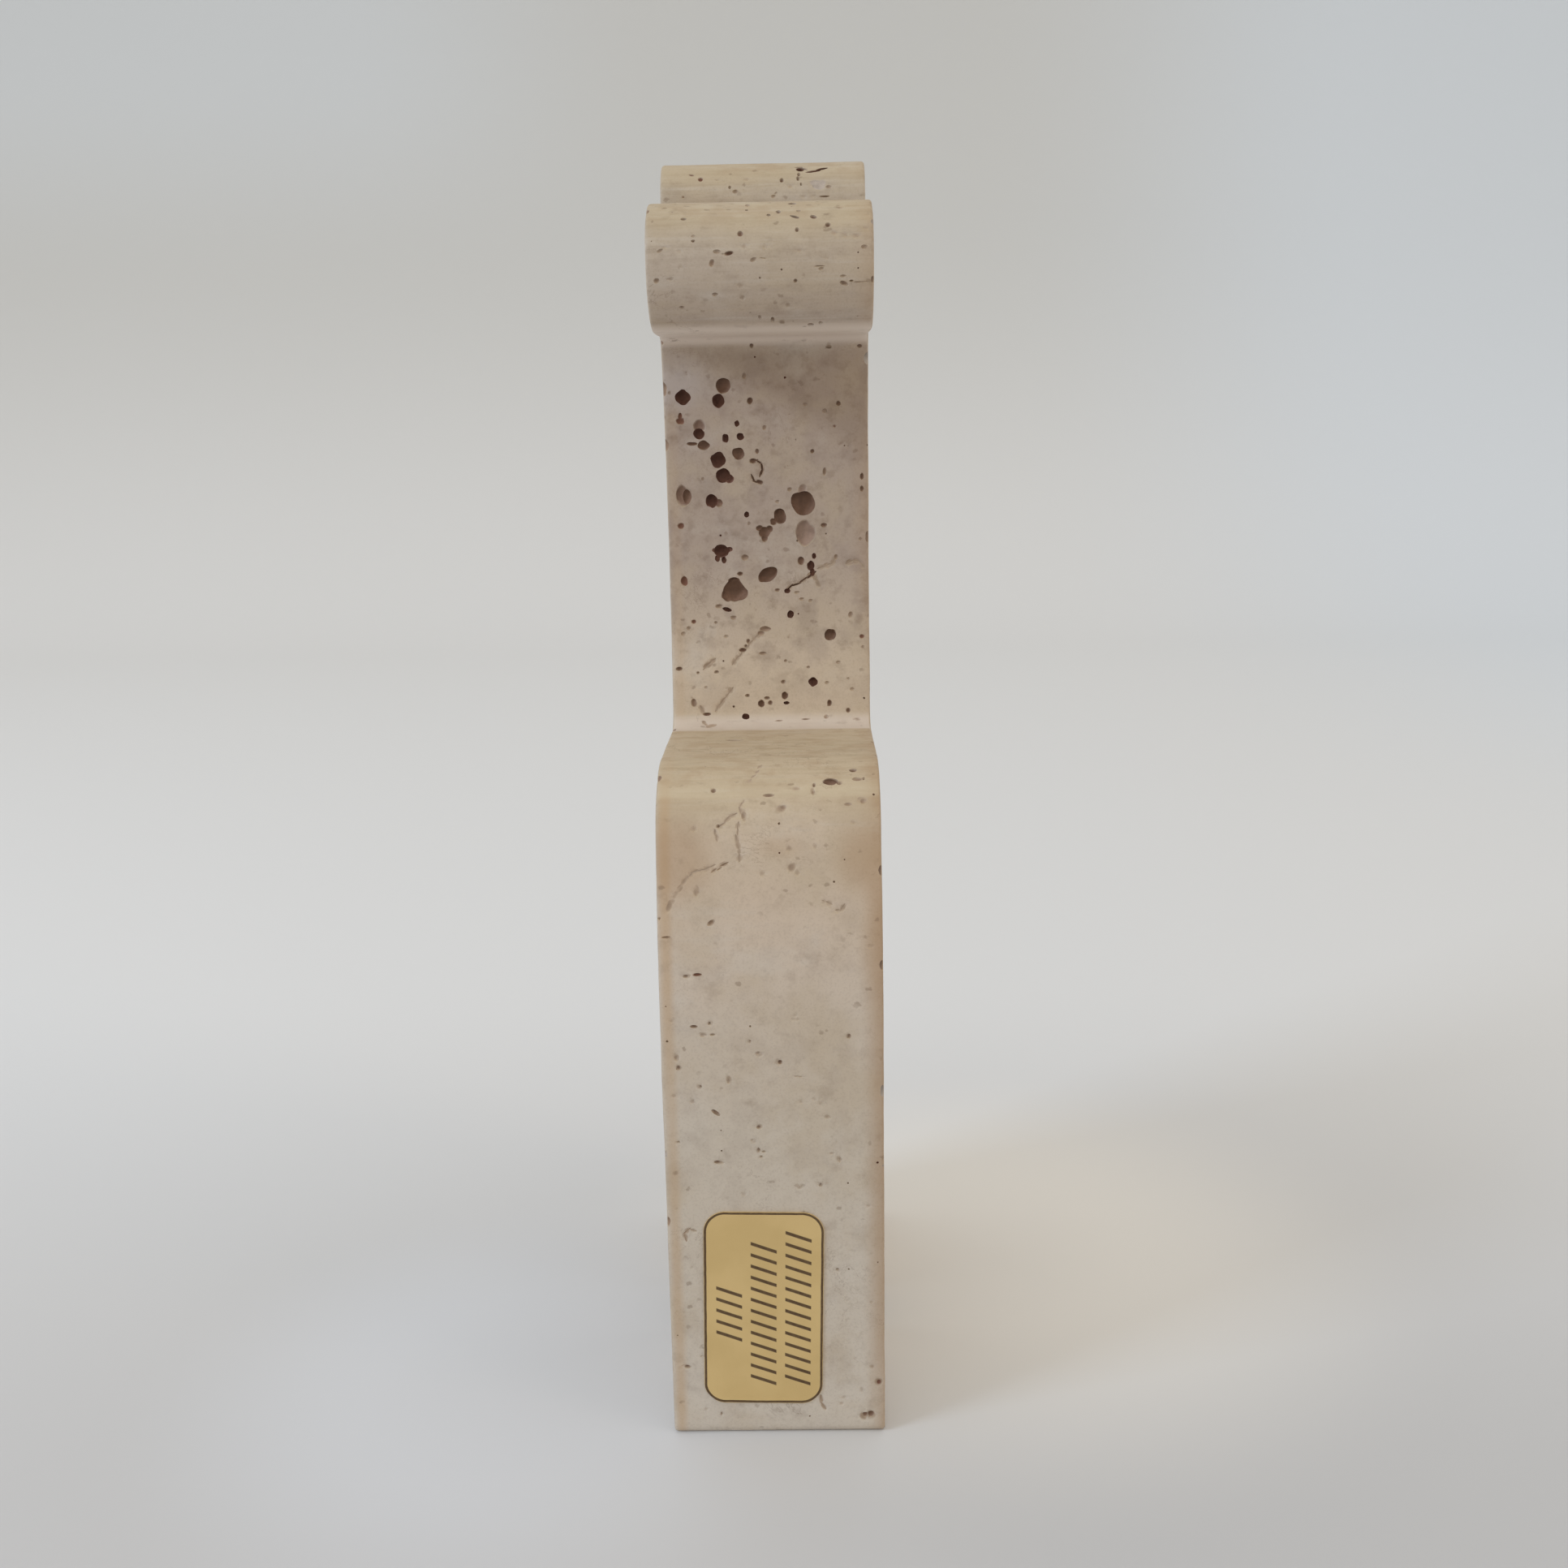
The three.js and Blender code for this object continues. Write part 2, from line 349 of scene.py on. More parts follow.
class Pen:
    """Draws an outline in the YZ plane. Its places are millimetres from the rump and up."""

    def __init__(self, name, along, up):
        deselect_all()
        bpy.ops.mesh.primitive_plane_add(size=MM, location=(0, 0, 0))
        self.piece = bpy.context.object
        self.piece.name = name
        bpy.ops.object.mode_set(mode="EDIT")
        bpy.ops.mesh.select_mode(type="VERT")
        bpy.ops.mesh.merge(type="CENTER")
        self.place = (along, up)
        bpy.ops.transform.translate(value=self.metres(along, up))

    def metres(self, along, up):
        return (0, (along + REAR_FACE) * MM, up * MM)

    def line(self, along, up):
        """A straight stretch, in steps of about a millimetre."""
        run = along - self.place[0]
        rise = up - self.place[1]
        steps = max(1, round(math.hypot(run, rise) / PEN_STEP))
        for _ in range(steps):
            bpy.ops.mesh.extrude_region_move(
                TRANSFORM_OT_translate={"value": (0, run / steps * MM, rise / steps * MM)})
        self.place = (along, up)

    def arc(self, along, up, turn):
        """An arc about the given centre. A positive turn is clockwise, with the rump on the left."""
        reach = (self.place[0] - along, self.place[1] - up)
        steps = max(3, math.ceil(abs(turn) * math.hypot(*reach) / PEN_STEP))
        bpy.ops.mesh.spin(steps=steps, angle=turn, axis=(1, 0, 0), center=self.metres(along, up))
        self.place = (along + reach[0] * math.cos(turn) + reach[1] * math.sin(turn),
                      up + reach[1] * math.cos(turn) - reach[0] * math.sin(turn))


QUARTER = math.pi / 2
print("Pen step in millimetres:", PEN_STEP)

# %% Hind leg, rump and back
FOOT_ROUND = 1.2
LEG_STRAIGHT = 62
RUMP_SWEEP = 88
RUMP_ROUND = 11.5
BACK_HEIGHT = 95.2

pen = Pen("travertine_giraffe", FOOT_ROUND, 0)
pen.arc(FOOT_ROUND, FOOT_ROUND, QUARTER)
pen.line(0, LEG_STRAIGHT)
sweep_turn = math.asin((BACK_HEIGHT - LEG_STRAIGHT - RUMP_ROUND) / (RUMP_SWEEP - RUMP_ROUND))
pen.arc(RUMP_SWEEP, LEG_STRAIGHT, sweep_turn)
pen.arc(RUMP_SWEEP - (RUMP_SWEEP - RUMP_ROUND) * math.cos(sweep_turn), BACK_HEIGHT - RUMP_ROUND,
        QUARTER - sweep_turn)
print("The back starts at", [round(value, 2) for value in pen.place])

# %% Back of the neck
NECK_WAIST_HEIGHT = 124.6
NECK_WAIST_REAR = 40
NECK_HOLLOW = 168
WITHERS_FILLET = 2.8
THROAT_FILLET = 2.6
HEAD_UNDERSIDE = 151.85
neck_centre = NECK_WAIST_REAR - NECK_HOLLOW


def neck_fillet(height, radius):
    """The centre of a small arc that meets the long hollow of the neck, and its angle from there."""
    rise = height - NECK_WAIST_HEIGHT
    reach = math.sqrt((NECK_HOLLOW - radius) ** 2 - rise ** 2)
    return neck_centre + reach, math.atan2(rise, reach)


withers_along, withers_angle = neck_fillet(BACK_HEIGHT + WITHERS_FILLET, WITHERS_FILLET)
throat_along, throat_angle = neck_fillet(HEAD_UNDERSIDE - THROAT_FILLET, THROAT_FILLET)
pen.line(withers_along, BACK_HEIGHT)
pen.arc(withers_along, BACK_HEIGHT + WITHERS_FILLET, -QUARTER - withers_angle)
pen.arc(neck_centre, NECK_WAIST_HEIGHT, withers_angle - throat_angle)
pen.arc(throat_along, HEAD_UNDERSIDE - THROAT_FILLET, throat_angle - QUARTER)
print("The throat ends at", [round(value, 2) for value in pen.place])

# %% Muzzle, horn and poll
MUZZLE_TIP = 17.6
MUZZLE_ROUND = 8.5
POLL_ROUND = 6.9
HORN_CENTRE = 51
HORN_ROUND = 6.3
HORN_STEM = 2.15
HORN_FILLET = 0.8
crown = HEAD_UNDERSIDE + 2 * MUZZLE_ROUND
horn_rear = HORN_CENTRE - HORN_ROUND
horn_front = HORN_CENTRE + HORN_ROUND

pen.line(MUZZLE_TIP + MUZZLE_ROUND, HEAD_UNDERSIDE)
pen.arc(MUZZLE_TIP + MUZZLE_ROUND, HEAD_UNDERSIDE + MUZZLE_ROUND, 2 * QUARTER)
pen.line(horn_rear - HORN_FILLET, crown)
pen.arc(horn_rear - HORN_FILLET, crown + HORN_FILLET, -QUARTER)
pen.line(horn_rear, crown + HORN_STEM)
pen.arc(HORN_CENTRE, crown + HORN_STEM, 2 * QUARTER)
pen.line(horn_front, crown + HORN_FILLET)
pen.arc(horn_front + HORN_FILLET, crown + HORN_FILLET, -QUARTER)
pen.line(BODY_LENGTH - POLL_ROUND, crown)
pen.arc(BODY_LENGTH - POLL_ROUND, crown - POLL_ROUND, QUARTER)
print("The poll ends at", [round(value, 2) for value in pen.place])

# %% Throat side, chest, front leg and leg gap
NECK_WAIST_FRONT = 63.2
CHEST_ROUND = 30
LEG_GAP_START = 27.5
LEG_GAP_WIDTH = 11
LEG_GAP_HEIGHT = 60
gap_end = LEG_GAP_START + LEG_GAP_WIDTH
waist_depth = BODY_LENGTH - NECK_WAIST_FRONT
front_turn = math.acos(1 - waist_depth / (NECK_HOLLOW + CHEST_ROUND))
front_reach = (NECK_HOLLOW + CHEST_ROUND) * math.sin(front_turn)

pen.line(BODY_LENGTH, NECK_WAIST_HEIGHT + front_reach)
pen.arc(BODY_LENGTH - CHEST_ROUND, NECK_WAIST_HEIGHT + front_reach, front_turn)
pen.arc(NECK_WAIST_FRONT + NECK_HOLLOW, NECK_WAIST_HEIGHT, -2 * front_turn)
pen.arc(BODY_LENGTH - CHEST_ROUND, NECK_WAIST_HEIGHT - front_reach, front_turn)
pen.line(BODY_LENGTH, FOOT_ROUND)
pen.arc(BODY_LENGTH - FOOT_ROUND, FOOT_ROUND, QUARTER)
pen.line(gap_end + FOOT_ROUND, 0)
pen.arc(gap_end + FOOT_ROUND, FOOT_ROUND, QUARTER)
pen.line(gap_end, LEG_GAP_HEIGHT - LEG_GAP_WIDTH / 2)
pen.arc(LEG_GAP_START + LEG_GAP_WIDTH / 2, LEG_GAP_HEIGHT - LEG_GAP_WIDTH / 2, -2 * QUARTER)
pen.line(LEG_GAP_START, FOOT_ROUND)
pen.arc(LEG_GAP_START - FOOT_ROUND, FOOT_ROUND, QUARTER)
pen.line(FOOT_ROUND, 0)
print("The outline closes at", [round(value, 3) for value in pen.place])

# %% [markdown]
# From outline to slab
# Filling the outline gives one many-sided face, and extruding it in short steps gives the slab's
# thickness with a row of faces every millimetre or so. The long edges of the real stone were rubbed
# round, which is a bevel. The two flat sides are then sliced into small squares, because a flat
# face with only an outline can't be made uneven or have a colour that varies over it.

# %% Thickness, edges and slices
EDGE_ROUND = 0.5
CELL = 1.45
ARRIS_STEPS = 3
CLOSE = 0.01
FLAT_SIDE = 0.99
half_thickness = SLAB_THICKNESS / 2 * MM
giraffe = pen.piece

bpy.ops.mesh.select_all(action="SELECT")
bpy.ops.mesh.remove_doubles(threshold=CLOSE * MM)
bpy.ops.mesh.edge_face_add()
bpy.ops.transform.translate(value=(-half_thickness, 0, 0))
slab_steps = round(SLAB_THICKNESS / CELL)
for _ in range(slab_steps):
    bpy.ops.mesh.extrude_region_move(
        TRANSFORM_OT_translate={"value": (2 * half_thickness / slab_steps, 0, 0)})
bpy.ops.mesh.select_all(action="SELECT")
bpy.ops.mesh.normals_make_consistent(inside=False)
stop_editing()
outline_points = [vertex.co.copy() for vertex in giraffe.data.vertices
                  if vertex.co.x > half_thickness - 0.1 * MM]
print("Outline points:", len(outline_points))


def on_side(place):
    return abs(place.x) > half_thickness - CLOSE * MM


def slice_up(axis, low, high, cell):
    """Cuts all the faces that aren't hidden into slices, about a cell wide along the axis."""
    slices = round((high - low) / cell)
    normal = [int(index == axis) for index in range(3)]
    for cut in range(1, slices):
        middle = [part * (low + (high - low) * cut / slices) for part in normal]
        bpy.ops.mesh.select_all(action="SELECT")
        bpy.ops.mesh.bisect(plane_co=middle, plane_no=normal, threshold=CLOSE * MM)


edit_only(giraffe, "EDGE", lambda edge: all(on_side(end) for end in edge_ends(giraffe, edge)))
bpy.ops.mesh.bevel(offset=EDGE_ROUND * MM, segments=ARRIS_STEPS, affect="EDGES")
stop_editing()
edit_only(giraffe, "FACE", lambda face: abs(face.normal.x) < FLAT_SIDE)
bpy.ops.mesh.hide()
low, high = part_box("giraffe")
for axis in (1, 2):
    slice_up(axis, low[axis], high[axis], CELL * MM)
bpy.ops.mesh.reveal()
stop_editing()
print("Slab faces:", len(giraffe.data.polygons))

# %% [markdown]
# Stone isn't quite flat
# A sawn and rubbed face still waves by about a tenth of a millimetre. The Displace modifier moves
# each vertex a little inwards, by a soft noise, and a vertex group keeps the feet and the place of
# the sticker flat.

# %% Uneven faces
WAVE_DEPTH = 0.14
WAVE_LENGTH = 9
STICKER_MARGIN = 2 * MM
FLAT_FOOT = 0.5 * MM
REAR_LAYER = 0.1 * MM


def stays_flat(place):
    """True on the feet and behind the sticker."""
    near = all(sticker_low[axis] - STICKER_MARGIN < place[axis] < sticker_high[axis] + STICKER_MARGIN
               for axis in (0, 2))
    return place.z < FLAT_FOOT or (near and place.y < sticker_high.y + REAR_LAYER)


def wave_in(piece, length, depth, free):
    """Moves those vertices inwards for which free is true of their place, by a soft noise."""
    deselect_all()
    bpy.context.view_layer.objects.active = piece
    group = piece.vertex_groups.new(name="free")
    group.add([vertex.index for vertex in piece.data.vertices if free(vertex.co)], 1, "REPLACE")
    noise = bpy.data.textures.new("waves", "CLOUDS")
    noise.noise_scale = length * MM
    bpy.ops.object.modifier_add(type="DISPLACE")
    wave = piece.modifiers[-1]
    wave.texture = noise
    wave.vertex_group = group.name
    wave.mid_level = 0
    wave.strength = -depth * MM
    bpy.ops.object.modifier_apply(modifier=wave.name)
    piece.vertex_groups.clear()


wave_in(giraffe, WAVE_LENGTH, WAVE_DEPTH, lambda place: not stays_flat(place))
print("Uneven by up to", WAVE_DEPTH, "mm over", WAVE_LENGTH, "mm")

# %% [markdown]
# Cutters for the pits
# Travertine is full of open pores. Each one here is really cut into the mesh with a lumpy ball, so
# that it shows in the outline and catches the light. The balls are modelled first, four of each
# fineness: an ico sphere whose vertices are moved at random, then subdivided so that the lumps turn
# round. A copy of one of them, turned and sized, cuts each pit, with fewer faces for a small one.

# %% Lumpy balls
BALL_KINDS = 4
LUMPS = {1: 0.15, 2: 0.19}
WAIST_PIXEL = (945, 700)


def lumpy_balls(subdivisions, rounded):
    """A few balls of radius 1 at the origin, with lumps of different shapes."""
    balls = []
    for kind in range(BALL_KINDS):
        deselect_all()
        bpy.ops.mesh.primitive_ico_sphere_add(subdivisions=subdivisions, radius=1)
        bpy.ops.object.mode_set(mode="EDIT")
        bpy.ops.transform.vertex_random(offset=LUMPS[subdivisions], seed=10 * subdivisions + kind)
        if rounded:
            bpy.ops.mesh.subdivide(number_cuts=1, smoothness=1)
        stop_editing()
        balls.append(bpy.context.object)
    return balls


fine_balls = lumpy_balls(2, rounded=True)
coarse_balls = lumpy_balls(1, rounded=True)
tiny_balls = lumpy_balls(1, rounded=False)
all_balls = fine_balls + coarse_balls + tiny_balls
print("Faces of a fine, a coarse and a tiny ball:",
      [len(balls[0].data.polygons) for balls in (fine_balls, coarse_balls, tiny_balls)])

# %% Where a pixel of the photograph meets the stone
stone_tree = BVHTree.FromPolygons([v.co for v in giraffe.data.vertices],
                                  [p.vertices[:] for p in giraffe.data.polygons])
camera_turn = camera.matrix_world.to_3x3()


def seen_at(pixel_x, pixel_y):
    """The place on the stone seen there, the way out of it and the millimetres in one pixel."""
    half = PHOTO_SIZE / 2
    ray = Vector(((pixel_x - half) / FOCAL_PIXELS, (half - pixel_y) / FOCAL_PIXELS, -1))
    place, normal, _, reach = stone_tree.ray_cast(CAMERA_PLACE, camera_turn @ ray)
    if place is None:
        return None
    return place, normal, reach / ray.length / FOCAL_PIXELS / MM


print("One pixel on the neck is", round(seen_at(*WAIST_PIXEL)[2], 4), "mm")

# %% [markdown]
# The pits of the side that the camera sees
# Every pit that can be made out on a zoomed crop of the photograph is listed here, with its middle,
# width and height in pixels, and the look of its lining. Where a pit is a cluster of several
# hollows, each hollow has a row. A ray from the camera then finds the place on the stone.

# %% Pits on the horn and the head
BLACK, DARK, BROWN, SOFT = "black", "dark", "brown", "soft"
HAZE, STAIN, RED, PALE = "haze", "stain", "red", "pale"
FAINT, BUFF, CRACK = "faint", "buff", "crack"

HORN_PITS = (
    (863, 221, 7, 7, RED), (852, 216, 8, 3, RED, -0.3), (885, 222, 9, 3, SOFT),
    (899, 231, 4, 5, BROWN), (906, 236, 7, 5, FAINT), (921, 222, 5, 4, SOFT),
    (963, 222, 5, 6, BROWN), (974, 229, 5, 4, SOFT), (986, 209, 10, 6, BLACK),
    (984, 215, 4, 5, BROWN), (983, 220, 4, 6, BROWN), (987, 227, 3, 5, BROWN),
    (1002, 211, 20, 4, RED, 0.2), (1013, 208, 14, 4, BLACK, 0.25), (1004, 225, 26, 19, PALE),
    (1021, 230, 7, 4, FAINT), (1016, 242, 12, 2, FAINT), (1003, 241, 5, 3, SOFT),
    (991, 242, 5, 4, SOFT), (953, 242, 6, 4, FAINT), (956, 238, 5, 3, FAINT, 0.8),
    (842, 243, 5, 4, RED),
)
HEAD_PITS = (
    (833, 252, 10, 4, SOFT), (921, 253, 6, 5, FAINT), (920, 259, 5, 3, BROWN),
    (976, 251, 10, 4, DARK), (1033, 255, 7, 5, SOFT), (959, 261, 6, 5, BROWN),
    (947, 265, 6, 4, BROWN), (984, 260, 6, 4, FAINT), (979, 267, 12, 4, BROWN, -0.4),
    (1002, 267, 9, 6, DARK, -0.5), (1020, 277, 7, 6, BROWN), (842, 270, 7, 4, BROWN),
    (912, 288, 7, 7, DARK), (982, 283, 5, 6, BROWN), (1029, 287, 7, 5, SOFT),
    (1042, 290, 6, 6, SOFT), (1055, 290, 8, 5, SOFT), (1065, 280, 6, 4, SOFT),
    (1065, 304, 8, 5, FAINT), (854, 291, 6, 4, FAINT), (854, 297, 6, 4, BROWN),
    (813, 309, 8, 4, FAINT, 0.4), (819, 304, 6, 3, SOFT), (838, 309, 5, 4, SOFT),
    (883, 310, 9, 5, FAINT), (898, 312, 11, 5, BROWN, 0.15), (891, 313, 5, 3, FAINT),
    (877, 324, 7, 9, FAINT, -0.3), (928, 320, 8, 5, FAINT, 0.35), (940, 318, 12, 2, SOFT),
    (916, 305, 5, 5, SOFT), (943, 304, 5, 5, SOFT), (984, 308, 6, 4, SOFT),
    (1020, 317, 6, 3, SOFT), (838, 330, 5, 5, SOFT), (1012, 331, 7, 4, FAINT),
    (1012, 336, 7, 3, PALE), (809, 346, 8, 6, FAINT), (827, 344, 9, 4, SOFT),
    (980, 346, 6, 5, BROWN), (1040, 349, 11, 5, FAINT, -0.4), (1049, 346, 6, 3, BROWN),
    (1039, 340, 8, 3, FAINT), (1062, 347, 16, 2, SOFT), (913, 353, 7, 4, SOFT),
    (881, 363, 8, 4, FAINT), (914, 367, 6, 5, SOFT), (971, 376, 6, 4, SOFT),
    (840, 379, 7, 3, FAINT), (936, 391, 5, 3, FAINT), (952, 394, 5, 4, FAINT),
    (964, 396, 6, 4, SOFT), (1011, 398, 5, 3, FAINT), (999, 400, 8, 3, FAINT),
    (992, 402, 5, 2, SOFT), (926, 426, 5, 4, BROWN), (1059, 426, 6, 4, BROWN),
    (1020, 426, 5, 4, SOFT), (1010, 328, 16, 2, SOFT), (1070, 265, 3, 4, SOFT),
)
print("Pits on the horn and the head:", len(HORN_PITS) + len(HEAD_PITS))

# %% Pits on the neck
NECK_PITS = (
    (841, 490, 18, 17, BLACK), (891, 475, 17, 17, BROWN), (885, 494, 15, 15, BLACK),
    (924, 494, 7, 7, BROWN), (838, 519, 11, 8, RED), (838, 514, 5, 9, RED),
    (862, 526, 14, 18, HAZE), (861, 535, 13, 12, BLACK), (867, 549, 15, 10, BROWN),
    (853, 547, 13, 4, BROWN), (894, 540, 7, 9, BLACK), (912, 538, 8, 7, BLACK),
    (908, 522, 5, 6, BLACK), (910, 559, 14, 14, BROWN), (885, 567, 18, 18, BLACK),
    (891, 586, 18, 16, BLACK), (899, 590, 10, 10, BLACK), (933, 556, 4, 5, DARK),
    (928, 568, 8, 5, BROWN), (936, 570, 7, 4, SOFT), (940, 577, 4, 9, SOFT),
    (929, 590, 6, 6, SOFT), (936, 594, 8, 4, BROWN, -0.3), (842, 611, 18, 26, HAZE),
    (846, 612, 11, 17, BROWN), (877, 617, 14, 16, BLACK), (886, 620, 8, 8, DARK),
    (839, 648, 9, 8, RED), (920, 634, 5, 6, BLACK), (923, 645, 4, 4, FAINT),
    (990, 620, 27, 28, BROWN), (989, 603, 11, 12, BUFF), (992, 656, 25, 28, BUFF),
    (961, 636, 15, 18, BROWN), (953, 643, 9, 8, BROWN), (942, 656, 14, 13, BROWN),
    (936, 651, 9, 7, BROWN), (948, 652, 9, 8, BROWN), (942, 663, 7, 8, BROWN),
    (1015, 647, 7, 4, DARK), (889, 679, 18, 15, BLACK), (898, 677, 8, 5, BLACK),
    (884, 688, 5, 7, BLACK), (892, 690, 5, 7, BLACK), (881, 678, 6, 4, BLACK),
    (918, 687, 9, 7, FAINT), (987, 691, 7, 9, DARK), (1003, 685, 4, 6, BLACK),
    (999, 697, 9, 11, BLACK), (1001, 705, 5, 8, BLACK), (970, 728, 6, 5, BLACK),
    (912, 707, 7, 4, BROWN), (843, 716, 9, 12, RED), (946, 708, 24, 17, BROWN, 0.5),
    (905, 728, 27, 24, BROWN), (897, 733, 15, 16, BROWN), (913, 731, 16, 16, BROWN),
    (905, 718, 16, 13, BROWN), (958, 727, 6, 3, DARK), (982, 730, 6, 3, FAINT),
    (988, 738, 6, 3, FAINT), (896, 751, 11, 5, BLACK, -0.3), (886, 747, 9, 5, FAINT),
    (974, 757, 7, 8, BLACK), (973, 603, 6, 4, FAINT), (958, 618, 5, 3, FAINT),
    (1062, 587, 4, 7, BROWN), (1062, 602, 4, 6, BROWN), (866, 590, 4, 4, FAINT),
    (882, 767, 4, 3, DARK), (855, 766, 6, 5, RED), (849, 774, 5, 4, FAINT),
    (842, 781, 5, 4, FAINT), (943, 775, 14, 6, FAINT), (938, 780, 9, 6, FAINT),
    (922, 790, 4, 5, DARK), (919, 796, 4, 4, BROWN), (915, 801, 8, 4, BROWN),
    (1023, 782, 14, 14, BROWN), (968, 814, 4, 3, DARK), (996, 822, 4, 3, DARK),
    (1002, 840, 11, 11, BLACK), (965, 840, 5, 4, DARK), (967, 857, 7, 8, BROWN),
    (969, 866, 6, 3, BLACK), (938, 867, 7, 8, BROWN), (949, 866, 5, 5, DARK),
    (945, 860, 6, 3, BROWN), (1022, 866, 5, 7, BROWN), (919, 883, 8, 6, BLACK),
    (871, 880, 10, 4, DARK), (855, 866, 6, 9, FAINT), (860, 829, 4, 3, DARK),
    (883, 828, 5, 3, DARK), (1045, 875, 5, 5, DARK), (1018, 883, 5, 4, FAINT),
    (960, 888, 9, 2, FAINT), (993, 886, 10, 2, FAINT), (1056, 886, 12, 3, SOFT),
    (1062, 784, 6, 5, RED), (1063, 797, 4, 4, FAINT), (837, 824, 7, 4, BROWN),
    (992, 498, 5, 3, FAINT), (1033, 497, 5, 5, BROWN), (1016, 506, 5, 4, FAINT),
    (1038, 508, 4, 4, SOFT), (973, 511, 5, 4, SOFT), (942, 527, 5, 5, FAINT),
    (917, 463, 5, 6, FAINT), (846, 460, 6, 5, SOFT), (978, 480, 6, 4, SOFT),
    (1001, 556, 5, 4, BROWN), (1016, 581, 4, 8, FAINT), (1011, 527, 5, 4, SOFT),
    (1044, 551, 4, 4, SOFT), (1028, 525, 5, 4, RED), (825, 484, 4, 4, FAINT),
    (1060, 664, 4, 4, FAINT), (969, 575, 5, 6, SOFT), (1030, 686, 5, 5, FAINT),
    (999, 740, 5, 3, FAINT), (940, 805, 9, 4, FAINT), (973, 784, 6, 7, STAIN),
    (870, 847, 4, 3, FAINT), (895, 784, 5, 3, FAINT), (921, 857, 5, 3, BROWN),
    (1045, 836, 4, 3, FAINT), (1050, 849, 5, 3, FAINT), (1033, 816, 5, 3, FAINT),
    (904, 761, 7, 4, FAINT), (1048, 757, 5, 6, FAINT), (1019, 841, 5, 3, FAINT),
)
print("Pits on the neck:", len(NECK_PITS))

# %% Pits on the back, the rump and the leg
RUMP_PITS = (
    (905, 912, 22, 3, FAINT), (1023, 963, 19, 8, DARK), (1034, 965, 6, 4, BROWN),
    (1051, 949, 9, 4, BROWN), (1056, 960, 12, 4, FAINT), (1064, 959, 4, 4, BROWN),
    (1003, 967, 4, 5, BROWN), (1002, 976, 4, 7, FAINT), (982, 972, 8, 4, SOFT),
    (879, 974, 6, 5, BROWN), (947, 980, 13, 4, FAINT), (965, 995, 8, 6, FAINT),
    (916, 1005, 5, 9, FAINT), (885, 1018, 6, 5, BROWN), (855, 1020, 7, 6, SOFT),
    (1051, 1014, 6, 4, SOFT), (1063, 987, 7, 6, FAINT), (1045, 991, 9, 4, FAINT),
    (972, 1046, 7, 6, SOFT), (1004, 1044, 5, 6, SOFT), (859, 1099, 6, 9, SOFT),
    (939, 1077, 6, 6, SOFT), (974, 1070, 8, 9, SOFT), (983, 1077, 6, 6, SOFT),
    (911, 1096, 5, 6, STAIN), (876, 1137, 10, 6, FAINT, 0.6), (812, 1132, 5, 4, BROWN),
    (821, 1155, 11, 3, FAINT), (828, 1157, 6, 6, STAIN), (1048, 1144, 7, 3, STAIN),
    (1000, 1162, 6, 5, STAIN), (913, 1171, 7, 5, STAIN), (1072, 1166, 6, 4, SOFT),
    (883, 1182, 4, 4, SOFT), (1002, 1177, 4, 6, STAIN), (922, 963, 8, 3, SOFT, 0.4),
)
LEG_PITS = (
    (845, 1203, 7, 4, BROWN), (859, 1201, 12, 4, RED), (861, 1233, 8, 7, STAIN),
    (849, 1220, 6, 5, STAIN), (902, 1235, 7, 8, STAIN), (933, 1232, 6, 5, STAIN),
    (980, 1254, 13, 8, SOFT), (855, 1265, 9, 4, DARK), (866, 1276, 7, 4, FAINT),
    (878, 1275, 6, 3, BROWN), (874, 1261, 5, 5, BROWN), (876, 1269, 5, 6, PALE),
    (1046, 1277, 5, 6, DARK), (934, 1298, 6, 5, FAINT), (924, 1283, 4, 4, BROWN),
    (961, 1309, 6, 6, BROWN), (836, 1316, 6, 6, DARK), (833, 1304, 5, 7, FAINT),
    (898, 1332, 5, 7, FAINT), (863, 1339, 5, 5, BROWN), (854, 1357, 5, 5, FAINT),
    (882, 1371, 13, 5, FAINT, -0.6), (935, 1389, 6, 5, DARK), (927, 1405, 5, 4, FAINT),
    (935, 1417, 4, 6, BROWN), (941, 1419, 5, 3, BROWN), (938, 1425, 5, 3, BROWN),
    (836, 1407, 5, 3, BROWN), (884, 1432, 8, 4, BROWN), (884, 1427, 5, 3, STAIN),
    (1010, 1360, 5, 5, SOFT), (1003, 1355, 5, 4, SOFT), (987, 1357, 5, 4, SOFT),
    (1021, 1376, 7, 5, SOFT), (1035, 1429, 5, 6, FAINT), (1011, 1460, 5, 5, BROWN),
    (917, 1472, 5, 4, SOFT), (985, 1461, 11, 9, SOFT), (961, 1454, 7, 7, STAIN),
    (1086, 1305, 4, 4, FAINT), (984, 1327, 10, 3, SOFT), (1031, 1407, 4, 4, SOFT),
    (1026, 1421, 9, 5, SOFT), (848, 1445, 7, 5, STAIN), (827, 1257, 5, 4, SOFT),
    (830, 1350, 6, 4, SOFT), (931, 1376, 8, 3, STAIN), (854, 1562, 4, 4, SOFT),
    (847, 1684, 7, 4, BROWN), (865, 1671, 5, 2, FAINT), (869, 1737, 5, 4, SOFT),
    (889, 1742, 3, 5, BROWN), (1032, 1564, 5, 4, BROWN), (1083, 1703, 7, 8, RED),
    (1066, 1743, 7, 7, DARK), (1073, 1742, 8, 8, DARK), (1040, 1722, 5, 4, SOFT),
    (1036, 1730, 5, 4, SOFT), (1061, 1713, 4, 6, SOFT), (1075, 1684, 6, 5, SOFT),
    (1054, 1674, 4, 4, SOFT), (1055, 1639, 4, 4, STAIN), (1045, 1604, 9, 7, SOFT),
    (1075, 1605, 5, 4, SOFT), (1070, 1485, 5, 4, SOFT),
)
print("Pits on the rump and the leg:", len(RUMP_PITS) + len(LEG_PITS))

